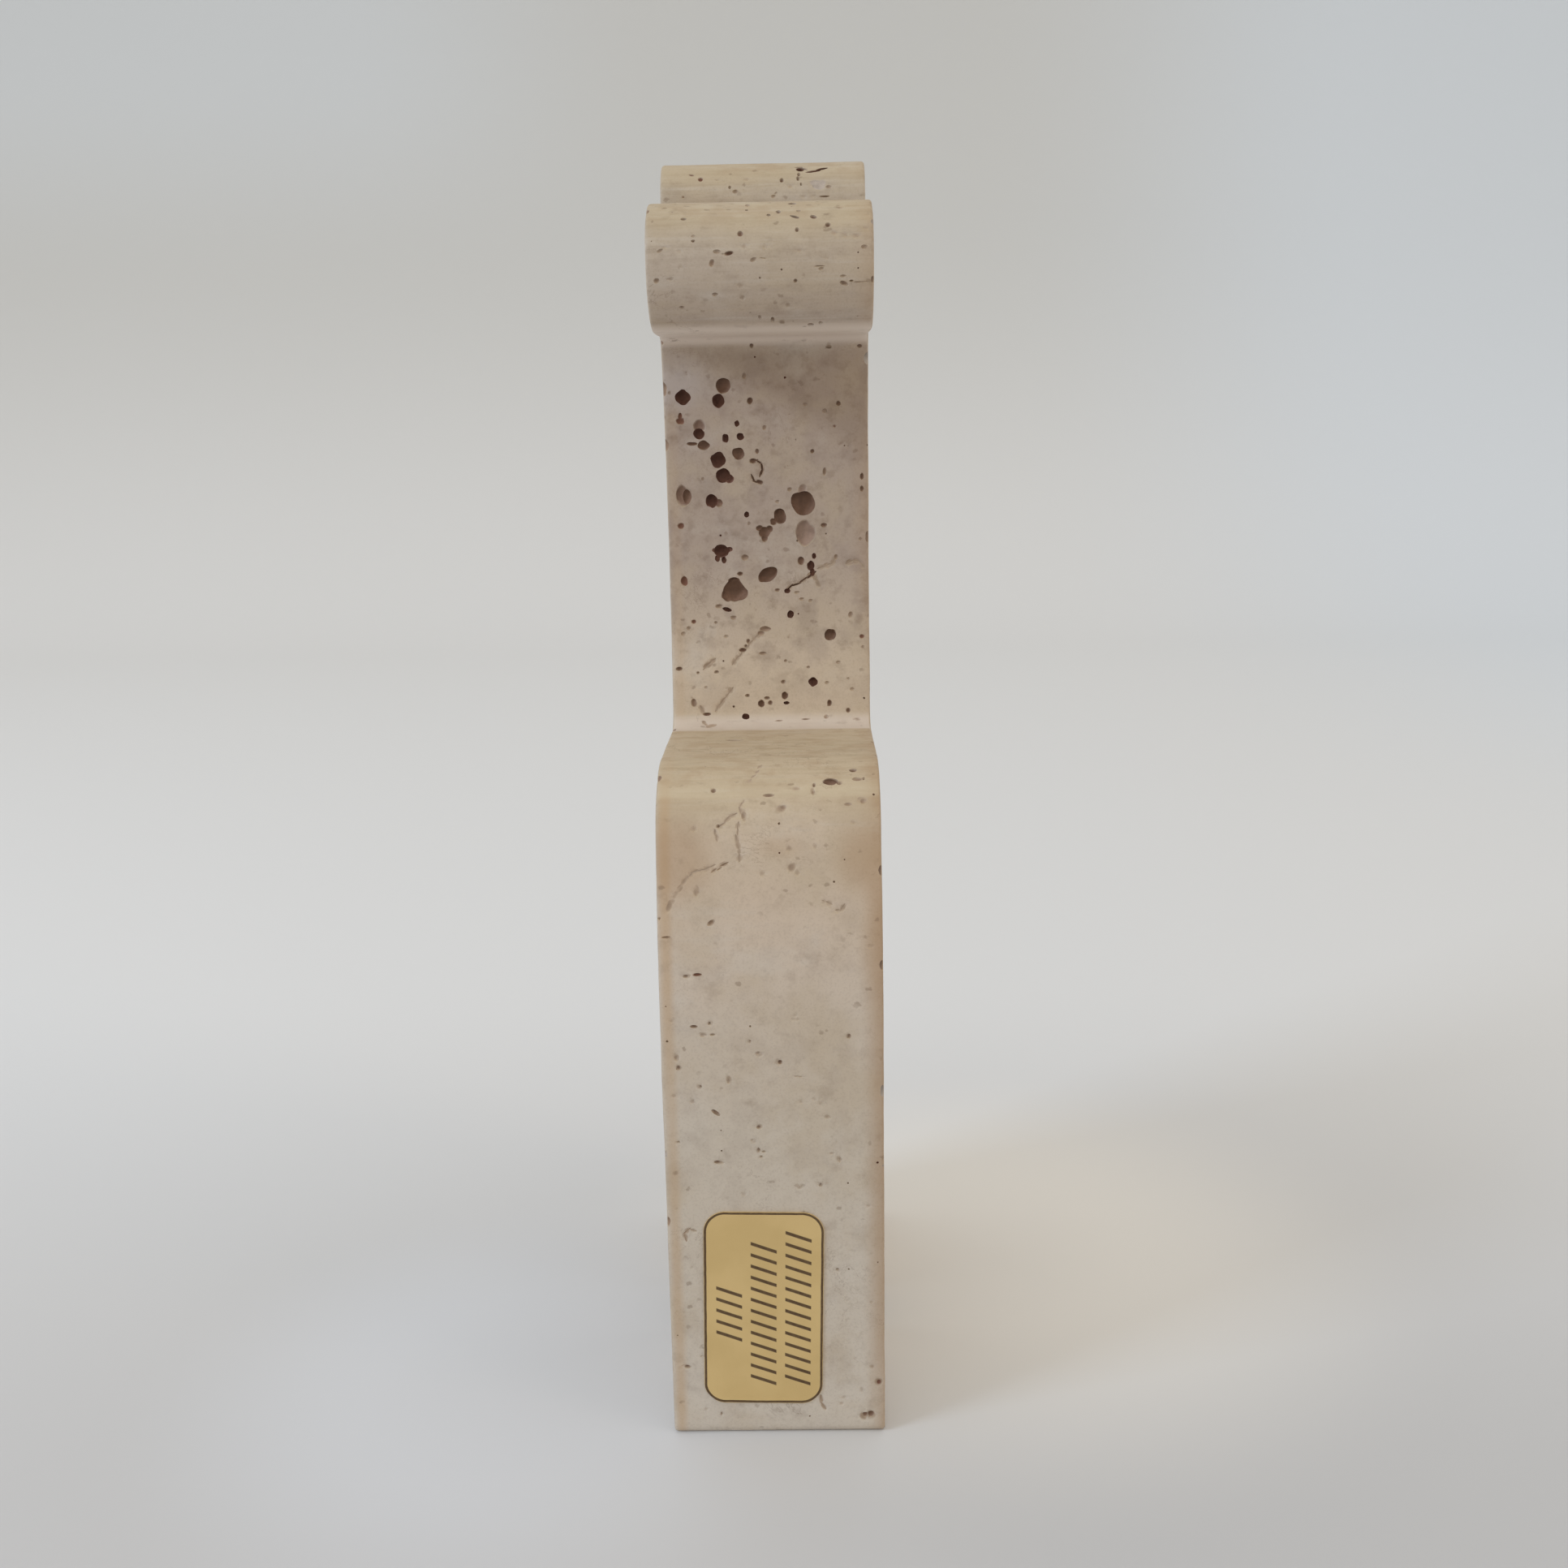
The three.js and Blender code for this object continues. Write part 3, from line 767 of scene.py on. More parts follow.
# %% Cracks, as chains of points in the photograph
CRACKS = (
    (((1003, 705), (995, 711), (985, 718), (975, 721), (969, 727)), BROWN),
    (((1009, 701), (1016, 699), (1027, 694), (1030, 688)), CRACK),
    (((926, 569), (933, 567), (939, 571), (940, 579), (937, 586)), BROWN),
    (((927, 587), (930, 593), (938, 595)), BROWN),
    (((1043, 694), (1050, 691), (1058, 692), (1065, 700)), CRACK),
    (((863, 871), (866, 876)), CRACK),
    (((866, 890), (872, 896), (882, 893)), CRACK),
    (((907, 1003), (899, 1007), (892, 1014), (885, 1018)), CRACK),
    (((916, 985), (912, 995), (915, 1004)), CRACK),
    (((910, 1015), (908, 1030), (911, 1045), (910, 1060)), CRACK),
    (((882, 1022), (883, 1036)), CRACK),
    (((878, 1075), (888, 1068), (897, 1064)), FAINT),
    (((880, 1065), (868, 1071), (853, 1075), (845, 1083)), CRACK),
    (((845, 1083), (836, 1098), (826, 1113), (822, 1122)), STAIN),
    (((1014, 1109), (1024, 1114)), CRACK),
    (((1030, 1122), (1036, 1122), (1040, 1116)), CRACK),
    (((846, 1529), (844, 1520), (850, 1514), (857, 1516)), CRACK),
    (((1012, 1719), (1012, 1728), (1017, 1736)), CRACK),
    (((938, 942), (930, 955), (922, 963)), CRACK),
    (((982, 207), (988, 206), (994, 211)), BROWN),
    (((942, 778), (932, 785), (923, 794), (914, 804), (903, 818)), CRACK),
    (((881, 877), (888, 868), (894, 860), (903, 849)), CRACK),
    (((868, 823), (875, 817), (881, 813)), CRACK),
    (((1003, 705), (1006, 714), (1010, 722)), CRACK),
)
CRACK_WIDTHS = (1.9, 3.2)
CRACK_OVERLAP = (1.2, 1.7)
CRACK_STAIN = 2.6
CRACK_PIECE = 7
CRACK_WANDER = 1.0
print("Cracks:", len(CRACKS))

# %% [markdown]
# Setting the cutters
# A pit's lining is darker than the face of the stone: partly the dust and minerals that settled in it,
# and partly painted shade that makes the pit look deeper. Each lining is a material here, so that the
# cut faces carry it after the cut. A dark pit is cut deep and a soft one is a shallow dish. A ball sunk
# a little under the face makes the mouth of the pit narrower than its inside, as on the real stone. A
# ball raised over the face cuts only with its lowest part, which gives a dish with a gentle rim, and is
# made wider by as much as it loses. The number called soon says how quickly the lining's colour comes
# on below the face.
#
# A soft pit is a smudge of a few dishes that run into each other. Off the neck, a stain lies round
# most small pits and a little to one side, and every crack has one along it. The small pits of the
# neck are listed by their dark middles, so they are made a rim wider.

# %% Linings
# Each lining's colour is partly dirt in the pit and partly painted shade.
LININGS = {
    BLACK: {"colour": tint(142, 106, 90), "depth": 0.85, "sunk": 0.25, "soon": 1.0},
    DARK: {"colour": tint(126, 98, 80), "depth": 0.42, "sunk": 0.0, "soon": 0.4},
    BROWN: {"colour": tint(122, 94, 76), "depth": 0.48, "sunk": 0.0, "soon": 0.35},
    SOFT: {"colour": tint(142, 118, 98), "depth": 0.34, "sunk": -0.5, "soon": 0.9},
    HAZE: {"colour": tint(132, 106, 90), "depth": 0.36, "sunk": -0.5, "soon": 0.45},
    STAIN: {"colour": tint(158, 136, 114), "depth": 0.15, "sunk": -0.5, "soon": 1.3},
    RED: {"colour": tint(116, 80, 63), "depth": 0.40, "sunk": -0.4, "soon": 0.8},
    PALE: {"colour": tint(174, 161, 148), "depth": 0.08, "sunk": -0.3, "soon": 3.0},
    FAINT: {"colour": tint(147, 123, 103), "depth": 0.28, "sunk": 0.0, "soon": 0.5},
    BUFF: {"colour": tint(148, 124, 108), "depth": 0.34, "sunk": -0.5, "soon": 0.5},
    CRACK: {"colour": tint(160, 140, 119), "depth": 0.12, "sunk": 0.0, "soon": 2.5},
}
FINE_FROM = 1.15
COARSE_FROM = 0.7
DISH_SHARE = 0.8
BALL_ALLOWANCE = 1.08
MOST_STRETCH = 2.5
SMUDGE_PARTS = 3
SMUDGE_SHARES = (0.5, 0.8)
STRAY = 0.3
HALO = 1.6
SOFT_HALO = 1.4
NECK_RIM = 1
SMALL_PIT = 9
WIDE_SMUDGE = 60
chance = random.Random(7)
lining_materials = {}
for lining, look in LININGS.items():
    lining_materials[lining] = bpy.data.materials.new("lining_" + lining)
cutters = []


def set_cutter(shape, lining, reach, middle):
    """Copies a lumpy ball through the matrix shape and keeps it with the sphere that it fills."""
    size = 2 * reach / MM * (DISH_SHARE if LININGS[lining]["sunk"] < 0 else 1)
    kinds = fine_balls if size > FINE_FROM else coarse_balls if size > COARSE_FROM else tiny_balls
    cutter = chance.choice(kinds).copy()
    cutter.data = cutter.data.copy()
    bpy.context.collection.objects.link(cutter)
    turn = Matrix.Rotation(chance.uniform(0, math.tau), 4, "Z")
    cutter.data.transform(shape @ turn)
    cutter.data.materials.append(lining_materials[lining])
    cutters.append((cutter, middle, reach))


def cut_pit(pixel_x, pixel_y, wide, tall, lining, turn=0.0):
    """A pit where the photograph has it, given its middle and size in pixels."""
    seen = seen_at(pixel_x, pixel_y)
    if seen is None:
        return
    place, out, pixel = seen
    side = (Vector((1, 0, 0)) - out * out.x).normalized()
    up = out.cross(side)
    foreshortened = abs((camera_turn.transposed() @ up).y)
    stretch = min(MOST_STRETCH, 1 / max(0.01, foreshortened))
    half_wide = wide * pixel * MM / 2 * BALL_ALLOWANCE
    half_tall = tall * pixel * MM / 2 * BALL_ALLOWANCE * (1 if turn else stretch)
    look = LININGS[lining]
    deep = look["depth"] * (half_wide + half_tall)
    wider = 1 / math.sqrt(1 - look["sunk"] ** 2) if look["sunk"] < 0 else 1
    middle = place - out * deep * look["sunk"]
    shape = Matrix((side, up, out)).transposed().to_4x4()
    shape = (Matrix.Translation(middle) @ Matrix.Rotation(turn, 4, out) @ shape
             @ Matrix.Diagonal((half_wide * wider, half_tall * wider, deep, 1)))
    set_cutter(shape, lining, max(half_wide * wider, half_tall * wider, deep), middle)


def stray(pixel_x, pixel_y, wide, tall):
    """A pixel a little off the middle of a pit."""
    return (pixel_x + wide * chance.uniform(-STRAY, STRAY),
            pixel_y + tall * chance.uniform(-STRAY, STRAY))


def cut_smudge(pixel_x, pixel_y, wide, tall, lining, turn=0.0):
    """A soft hollow, as a few shallow dishes that run into each other."""
    for _ in range(SMUDGE_PARTS):
        off_middle = stray(pixel_x, pixel_y, wide, tall)
        cut_pit(*off_middle, wide * chance.uniform(*SMUDGE_SHARES),
                tall * chance.uniform(*SMUDGE_SHARES), lining, turn)


def stain_size(pits, wide, lining):
    """How many times as wide as its pit the stain round it is, or 0 where there is none."""
    if pits is NECK_PITS or wide >= SMALL_PIT or lining in (STAIN, PALE):
        return 0
    if lining is SOFT:
        return SOFT_HALO
    return HALO if pits in (RUMP_PITS, LEG_PITS) else 0


for pits in (HORN_PITS, HEAD_PITS, NECK_PITS, RUMP_PITS, LEG_PITS):
    for pixel_x, pixel_y, wide, tall, lining, *turn in pits:
        if pits is NECK_PITS and wide < SMALL_PIT:
            wide += NECK_RIM
            tall += NECK_RIM
        if lining is SOFT and wide * tall > WIDE_SMUDGE and pits is not NECK_PITS:
            cut_smudge(pixel_x, pixel_y, wide, tall, STAIN, *turn)
        elif lining in (SOFT, STAIN, PALE):
            cut_smudge(pixel_x, pixel_y, wide, tall, lining, *turn)
        else:
            cut_pit(pixel_x, pixel_y, wide, tall, lining, *turn)
        size = stain_size(pits, wide, lining)
        if size:
            cut_pit(*stray(pixel_x, pixel_y, wide, tall), wide * size, tall * size, STAIN)
for points, lining in CRACKS:
    for start, end in zip(points, points[1:]):
        run = end[0] - start[0]
        rise = start[1] - end[1]
        pieces = max(1, round(math.hypot(run, rise) / CRACK_PIECE))
        for piece in range(pieces):
            share = (piece + 0.5) / pieces
            crack_x = start[0] + run * share + chance.uniform(-CRACK_WANDER, CRACK_WANDER)
            crack_y = start[1] - rise * share + chance.uniform(-CRACK_WANDER, CRACK_WANDER)
            length = math.hypot(run, rise) / pieces * chance.uniform(*CRACK_OVERLAP)
            width = chance.uniform(*CRACK_WIDTHS)
            turn = math.atan2(rise, run)
            cut_pit(crack_x, crack_y, length, width, lining, turn)
            cut_pit(crack_x, crack_y, length, width * CRACK_STAIN, STAIN, turn)
print("Cutters set by the photograph:", len(cutters))

# %% [markdown]
# Pits that the photograph doesn't show
# Travertine grew in layers, and the slab was sawn so that they stand upright, facing the rump. On
# the neck the pits are seen flat on and look round. On the two flat sides the same pits are seen
# edge on, so they are slots along Z that keep to a few layers. Each layer below has its middle from
# the rump, its half width and how porous it is. Seeded random numbers place the pits.

# %% Scattered pits
POROUS_LAYERS = ((11, 1.6, 0.5), (23.5, 1.2, 0.3), (42, 2.6, 1.0), (53, 1.5, 0.6), (60.5, 0.9, 0.3))
BACKGROUND_PITS = 0.05
SCATTER_TRIES = 3600
LARGEST_SIDE_PIT = 1.25
SMALLEST_PIT = 0.16
SIZE_POWER = 5
CHANCE_OFF_SIDES = 0.1
SUNK_SCATTER = 0.3
SLOT_FLATNESS = 0.45
ROUND_FLATNESS = 0.9
SLOT_TALLNESS = (1.0, 1.9)
FOOT_CLEAR = 1.5 * MM


def porosity(place):
    """How likely a pit is at this place, from the layer it is in."""
    along = place.y / MM - REAR_FACE
    return BACKGROUND_PITS + sum(share * math.exp(-((along - middle) / spread) ** 2)
                                 for middle, spread, share in POROUS_LAYERS)


def by_place(face):
    """Sorts faces by their place, because Blender may number them in another order each run."""
    return [round(part / MM, 3) for part in face.center]


faces = sorted((face for face in giraffe.data.polygons
                if not stays_flat(face.center) and face.center.z > FOOT_CLEAR), key=by_place)
weights = [face.area for face in faces]
tries = chance.choices(faces, weights, k=SCATTER_TRIES)
set_by_photograph = len(cutters)
for face in tries:
    is_side = abs(face.normal.x) > 0.8
    seen_face = not is_side and face.normal.y < 0.2
    likely = porosity(face.center) if is_side else CHANCE_OFF_SIDES
    size_draw = chance.random()
    if chance.random() > likely:
        continue
    radius = SMALLEST_PIT + (LARGEST_SIDE_PIT - SMALLEST_PIT) * size_draw ** SIZE_POWER
    if seen_face:
        radius = SMALLEST_PIT * (0.7 + 0.7 * size_draw)
    radius *= MM
    lining = chance.choice((BROWN, BROWN, SOFT, SOFT, RED, BLACK))
    if seen_face:
        lining = chance.choice((BROWN, SOFT, SOFT, RED))
    middle = face.center - face.normal * radius * SUNK_SCATTER
    flatness = SLOT_FLATNESS if is_side or abs(face.normal.z) > 0.7 else ROUND_FLATNESS
    tallness = chance.uniform(*SLOT_TALLNESS) if is_side else 1.0
    shape = Matrix.Translation(middle) @ Matrix.Diagonal(
        (radius, radius * flatness, radius * tallness, 1))
    set_cutter(shape, lining, radius * tallness, middle)
print("Scattered pits:", len(cutters) - set_by_photograph)

# %% Chips along the sharp edges
CHIP_COUNT = 90
CHIP_SIZES = (0.25, 0.75)
for _ in range(CHIP_COUNT):
    corner = chance.choice(outline_points).copy()
    if corner.z < FOOT_CLEAR:
        continue
    corner.x = math.copysign(half_thickness, chance.uniform(-1, 1))
    size = chance.uniform(*CHIP_SIZES) * MM
    shape = Matrix.Translation(corner) @ Matrix.Diagonal(
        (size, size, size * chance.uniform(1, 2), 1))
    set_cutter(shape, chance.choice((SOFT, PALE)), size * 2, corner)
print("Cutters in all:", len(cutters))

# %% [markdown]
# Cutting
# A boolean can take many cutters at once when they are joined into one mesh, but they must not
# overlap each other there. So the cutters are dealt into batches in which no two touch, and each
# batch is one cut. The eyes, a shallow drilled hole on each side, are cut first.

# %% Eyes
EYE_DIAMETER = 4.6
EYE_DEPTH = 2.6
EYE_FROM_TIP = 22.5
EYE_BELOW_CROWN = 6.4
EYE_SIDES = 48


def carve(piece, cutter):
    """Cuts the cutter out of the piece, leaves its material on the cut faces and removes it."""
    deselect_all()
    bpy.context.view_layer.objects.active = piece
    bpy.ops.object.modifier_add(type="BOOLEAN")
    cut = piece.modifiers[-1]
    cut.operation = "DIFFERENCE"
    cut.solver = "MANIFOLD"
    cut.material_mode = "TRANSFER"
    cut.object = cutter
    bpy.ops.object.modifier_apply(modifier=cut.name)
    bpy.data.objects.remove(cutter)


stone_body = bpy.data.materials.new("stone_body")
giraffe.data.materials.append(stone_body)
eye_place = (MUZZLE_TIP + EYE_FROM_TIP, crown - EYE_BELOW_CROWN)
for side in (-1, 1):
    deselect_all()
    bpy.ops.mesh.primitive_cylinder_add(
        vertices=EYE_SIDES, radius=EYE_DIAMETER / 2 * MM, depth=2 * EYE_DEPTH * MM,
        location=(side * half_thickness, (eye_place[0] + REAR_FACE) * MM, eye_place[1] * MM),
        rotation=(0, QUARTER, 0))
    drill = bpy.context.object
    drill.data.materials.append(lining_materials[SOFT])
    carve(giraffe, drill)
print("Faces with the eyes cut:", len(giraffe.data.polygons))

# %% Pits, cracks and chips
TOUCH = 1.35
batches = []
for cutter, middle, reach in cutters:
    for batch in batches:
        if all((middle - other).length > (reach + other_reach) * TOUCH
               for _, other, other_reach in batch):
            batch.append((cutter, middle, reach))
            break
    else:
        batches.append([(cutter, middle, reach)])

for batch in batches:
    deselect_all()
    for cutter, _, _ in batch:
        cutter.select_set(True)
    bpy.context.view_layer.objects.active = batch[0][0]
    bpy.ops.object.join()
    carve(giraffe, bpy.context.object)
for ball in all_balls:
    bpy.data.objects.remove(ball)
print("Batches:", len(batches), "and faces:", len(giraffe.data.polygons))

# %% Only the largest body is kept
# Two pits that meet can leave a crumb of stone between them that hangs in the air.
deselect_all()
giraffe.select_set(True)
bpy.context.view_layer.objects.active = giraffe
bpy.ops.mesh.separate(type="LOOSE")
bodies = sorted(bpy.context.selected_objects, key=lambda body: len(body.data.vertices))
giraffe = bodies.pop()
for crumb in bodies:
    bpy.data.objects.remove(crumb)
giraffe.name = "travertine_giraffe"
bpy.context.view_layer.objects.active = giraffe
giraffe.select_set(True)
bpy.ops.object.shade_smooth_by_angle(angle=math.radians(38))
giraffe.data.calc_loop_triangles()
print("Crumbs removed:", len(bodies), "and triangles:", len(giraffe.data.loop_triangles))

# %% [markdown]
# What the stone's material needs to know
# Three things are written on the mesh as attributes, because a shader can't measure them: how deep
# each vertex lies under the face, how far it is from the slab's long edges, and the lining of each
# cut face, with the number called soon as its alpha.

# %% Depth, edge distance and lining
stone_mesh = giraffe.data
depth_under = stone_mesh.attributes.new("depth", "FLOAT", "POINT")
edge_distance = stone_mesh.attributes.new("edge", "FLOAT", "POINT")
edge_tree = kdtree.KDTree(2 * len(outline_points))
for index, point in enumerate(outline_points):
    for side in (0, 1):
        corner = Vector((half_thickness * (1 - 2 * side), point.y, point.z))
        edge_tree.insert(corner, 2 * index + side)
edge_tree.balance()
for vertex in stone_mesh.vertices:
    depth_under.data[vertex.index].value = stone_tree.find_nearest(vertex.co)[3] / MM
    edge_distance.data[vertex.index].value = edge_tree.find(vertex.co)[2] / MM

lining_colours = {"stone_body": (1, 1, 1, 0)}
for lining, look in LININGS.items():
    lining_colours["lining_" + lining] = (*look["colour"][:3], look["soon"])
slot_colours = [lining_colours[material.name] for material in stone_mesh.materials]
lining_colour = stone_mesh.color_attributes.new("lining", "FLOAT_COLOR", "CORNER")
for face in stone_mesh.polygons:
    for corner in face.loop_indices:
        lining_colour.data[corner].color = slot_colours[face.material_index]
    face.material_index = 0
stone_mesh.materials.clear()
print("Slots before:", len(slot_colours), "and deepest vertex in mm:",
      round(max(item.value for item in depth_under.data), 2))

# %% [markdown]
# The look of the stone
# Honed travertine is cream, with soft clouds seen flat on and thin upright bands seen edge on. Dust
# and hands have left it yellow on the faces that look up and orange brown near the long edges, and
# fine dark specks are all over. The coats go on in that order, from the broad to the fine. A zone is
# a pair of heights in millimetres over which a coat fades in, or fades out where the first is higher.

# %% Stone colours by height
SAND = tint(187, 168, 141)
UMBER = tint(109, 83, 60)
DUSK = tint(134, 115, 104)
CHALK = tint(206, 197, 185)
HONEY = tint(194, 173, 134)
CREAM = tint(214, 197, 166)
TAN = tint(190, 158, 120)
RUST = tint(168, 134, 98)
HOLLOW_LIGHT_TINT = tint(222, 207, 193)
SIDE = tint(198, 182, 162)
PAINTED_WINDOW_LIGHT = tint(186, 175, 171)
LEG_STONE = (205, 194, 179)
RUMP_STONE = (204, 184, 162)
BACK_STONE = (205, 186, 162)
NECK_STONE = (173, 155, 140)
JAW_STONE = (183, 166, 150)
HEAD_STONE = (189, 174, 153)
HEIGHT_COLOURS = ((0, LEG_STONE), (45, LEG_STONE), (80, RUMP_STONE), (103, BACK_STONE),
                  (120, NECK_STONE), (146, NECK_STONE), (154, JAW_STONE), (168, HEAD_STONE),
                  (178, HEAD_STONE))
HEIGHT_WANDER = 6

stone = Paint("honed_travertine")
across, along, up = stone.parts(stone.place())
turned_across, turned_along, upward = stone.parts(stone.node("TexCoord", output=1))
sides = stone.step(abs(turned_across), 0.5, 0.9)
rear = stone.step(turned_along, -0.3, -0.8)
tallest = HEIGHT_COLOURS[-1][0]
height_stops = [(height / tallest, tint(*colour)) for height, colour in HEIGHT_COLOURS]
wander = HEIGHT_WANDER * (stone.noise(stone.place(), 0.06, 3) - 0.5)
stone.colour = stone.node("ValToRGB", {"stops": height_stops}, {0: (up + wander) / tallest})
stone.coat(0.8 * sides, SIDE)
print("Height colours:", len(height_stops))

# %% Clouds, layers and mottling
# The layers show as streaks on the head, on the back and on the two sides. The neck is more mottled
# than the leg, because its stone is more porous.
HEAD_ZONE = (149, 153)
NECK_ZONE = (98, 112)
NECK_END = (152, 147)
JAW_ZONE = (149, 152)
JAW_END = (163, 155)

bedded = stone.high(sides, stone.high(stone.step(up, *HEAD_ZONE), stone.step(upward, 0.3, 0.8)))
on_neck = stone.step(up, *NECK_ZONE) * stone.step(up, *NECK_END) * (0.3 + 0.7 * rear)
on_jaw = stone.step(up, *JAW_ZONE) * stone.step(up, *JAW_END) * (1 - sides)
layered = bedded * (1 - 0.6 * on_jaw)
clouds = stone.noise(stone.place((1, 2.2, 1)), 0.07, 5, 0.6)
bands = stone.noise(stone.place((0.03, 0.75, 0.02)), 1.0, 4, 0.6, 0.4)
streaks = stone.noise(stone.place((0.25, 2.4, 0.9)), 0.5, 4, 0.6)
stripes = stone.noise(stone.place((0.06, 1.4, 1.1)), 0.9, 3, 0.6)
mottle = stone.noise(stone.place((0.9, 1.6, 0.9)), 0.5, 4, 0.62)
blotches = stone.noise(stone.place((1, 1.6, 1)), 0.24, 3, 0.55)
grain = stone.noise(stone.place(), 3.2, 2, 0.6)
stone.coat(0.4 * stone.step(clouds, 0.46, 0.64), SAND)
stone.coat(0.35 * stone.step(clouds, 0.46, 0.3), CHALK)
stone.coat((0.25 + 0.2 * sides) * stone.step(bands, 0.42, 0.66), SAND)
stone.coat((0.3 + 0.2 * sides) * stone.step(bands, 0.44, 0.30), CHALK)
stone.coat(0.17 * layered * stone.step(streaks, 0.5, 0.7), UMBER)
stone.coat(0.12 * layered * stone.step(stripes, 0.5, 0.66), UMBER)
stone.coat(0.2 * layered * stone.step(stripes, 0.48, 0.34), CHALK)
stone.coat((0.1 + 0.2 * on_neck) * stone.step(blotches, 0.48, 0.66), DUSK)
stone.coat((0.08 + 0.18 * on_neck) * stone.step(mottle, 0.5, 0.7), UMBER)
stone.coat(0.12 * stone.step(grain, 0.45, 0.75), UMBER)
print("Nodes so far:", len(stone.tree.nodes))

# %% Patina on the upward faces and along the edges
# The band near the left long edge is a narrow line, and the one near the right edge is broad. Both
# are strongest below the neck, and the left one ends under the head.
BELOW_NECK = (98, 90)
LINE_END = (150, 140)
LINE_FROM_EDGE = 1.2
BROAD_BAND = (3.4, 0.3)

edge_away = stone.attribute("edge")
handled = stone.noise(stone.place((1, 1, 0.25)), 0.12, 3)
below_neck = stone.step(up, *BELOW_NECK)
right_side = stone.step(across, -1, 1)
line_tone = stone.step(abs(edge_away - LINE_FROM_EDGE), 1.3, 0.1)
line_tone = line_tone * (0.6 + 0.4 * stone.step(handled, 0.3, 0.55)) * (0.2 + 0.35 * below_neck)
line_tone = line_tone * stone.step(up, *LINE_END) * (1 - sides) * (0.4 + 0.6 * rear)
broad_tone = stone.step(edge_away, *BROAD_BAND) * stone.step(handled, 0.25, 0.55)
stone.coat(0.45 * stone.step(upward, 0.05, 0.8), HONEY)
stone.coat(0.22 * stone.step(upward, 0.4, 0.9) * stone.step(blotches, 0.45, 0.62), RUST)
stone.coat(line_tone * (1 - right_side), TAN)
stone.coat((0.25 + 0.3 * below_neck) * broad_tone * right_side, RUST)

# %% Painted highlight at the crest of the rump and painted light in the hollows
# A painted highlight runs along the crest of the rump. The hollows under the head and behind the
# withers carry painted light, which makes them paler than the faces on both sides of them.
CREST_ZONE = (91.1, 91.8)
CREST_END = (93.8, 91.9)
THROAT_ZONE = (150.4, 151.7)
THROAT_END = (153.3, 152.1)
WITHERS_ZONE = (90, 94)
WITHERS_END = (97.4, 95.8)

facing = stone.step(abs(turned_across), 0.8, 0.4)
crest_highlight = facing * stone.step(up, *CREST_ZONE) * stone.step(up, *CREST_END) * stone.step(along, -10, -16)
throat_hollow = stone.step(up, *THROAT_ZONE) * stone.step(up, *THROAT_END)
withers_hollow = stone.step(up, *WITHERS_ZONE) * stone.step(up, *WITHERS_END)
withers_hollow = withers_hollow * stone.step(along, 0.9, 2.3)
light_in_hollows = stone.high(0.95 * throat_hollow, 0.62 * withers_hollow)
# The painted highlight along the crest of the rump.
stone.coat(0.35 * crest_highlight, CREAM)
# The painted light in the hollows under the head and behind the withers.
stone.coat(light_in_hollows * facing * stone.step(along, 18, 12), HOLLOW_LIGHT_TINT)

# %% Stains, painted window light and the head's painted shadow on the rear faces
# Each stain has its middle across and up, its reach across and up, how strong it is and its colour. The
# last row is no stain but painted window light, a pale cool patch at the top left of the neck. A
# painted shadow of the head also slants over the top of the neck, darker above a slanting line.
STAINS_AND_PAINTED_LIGHT = ((12.5, 84, 6, 7, 0.45, RUST), (14, 73, 3, 10, 0.25, RUST), (1.5, 85.3, 4, 2, 0.2, RUST),
          (-12.5, 84, 7, 8, 0.42, RUST), (-13.5, 145.5, 7, 5, 0.5, PAINTED_WINDOW_LIGHT))
HEAD_SHADOW_HEIGHT = 151.5
HEAD_SHADOW_SLOPE = 0.59
HEAD_SHADOW_END = (151, 149)
RAGGED_STAIN = 0.9
RAGGED_SHADOW_EDGE = 5

# The same loop lays the real stains and the painted window light on the neck.
for middle_across, middle_up, reach_across, reach_up, strength, colour in STAINS_AND_PAINTED_LIGHT:
    from_stain = stone.span((across - middle_across) / reach_across, (up - middle_up) / reach_up)
    stain = rear * stone.step(from_stain + RAGGED_STAIN * (clouds - 0.5), 1.0, 0.25)
    stone.coat(strength * stain, colour)
# The painted shadow of the head: darker above a line that slants down to the right, as the window's
# light throws it.
slant = HEAD_SHADOW_SLOPE * (across + half_thickness / MM)
into_head_shadow = up - HEAD_SHADOW_HEIGHT + slant + RAGGED_SHADOW_EDGE * (clouds - 0.5)
stone.coat(0.24 * rear * stone.step(into_head_shadow, -1, 4) * stone.step(up, *HEAD_SHADOW_END), UMBER)

# %% Specks, smudges and hairlines
SPECK_REACH = (0.2, 0.1)

fray = stone.node("TexNoise", None, {"Vector": stone.place(), "Scale": 1.1, "Detail": 3.0}, output=1)
frayed = stone.node("VectorMath", {"operation": "ADD"}, {0: stone.place((0.8, 1.5, 1)), 1: fray})
speck_cells = stone.node("TexVoronoi", None, {"Vector": frayed, "Scale": 0.5}, output="Distance")
specks = stone.step(speck_cells, *SPECK_REACH)
specks = specks * stone.step(stone.noise(stone.place(), 0.13, 3), 0.45, 0.6)
smudges = stone.step(stone.noise(stone.place((0.9, 1.8, 1)), 0.32, 3, 0.6), 0.58, 0.72)
hairline = stone.step(abs(stone.noise(stone.place(), 0.09, 7, 0.65, 0.6) - 0.5), 0.006, 0.001)
hairline = hairline * stone.step(stone.noise(stone.place(), 0.05, 2), 0.5, 0.6)
stone.coat(0.16 * smudges, UMBER)
stone.coat(0.38 * specks, UMBER)
stone.coat(0.3 * hairline, UMBER)

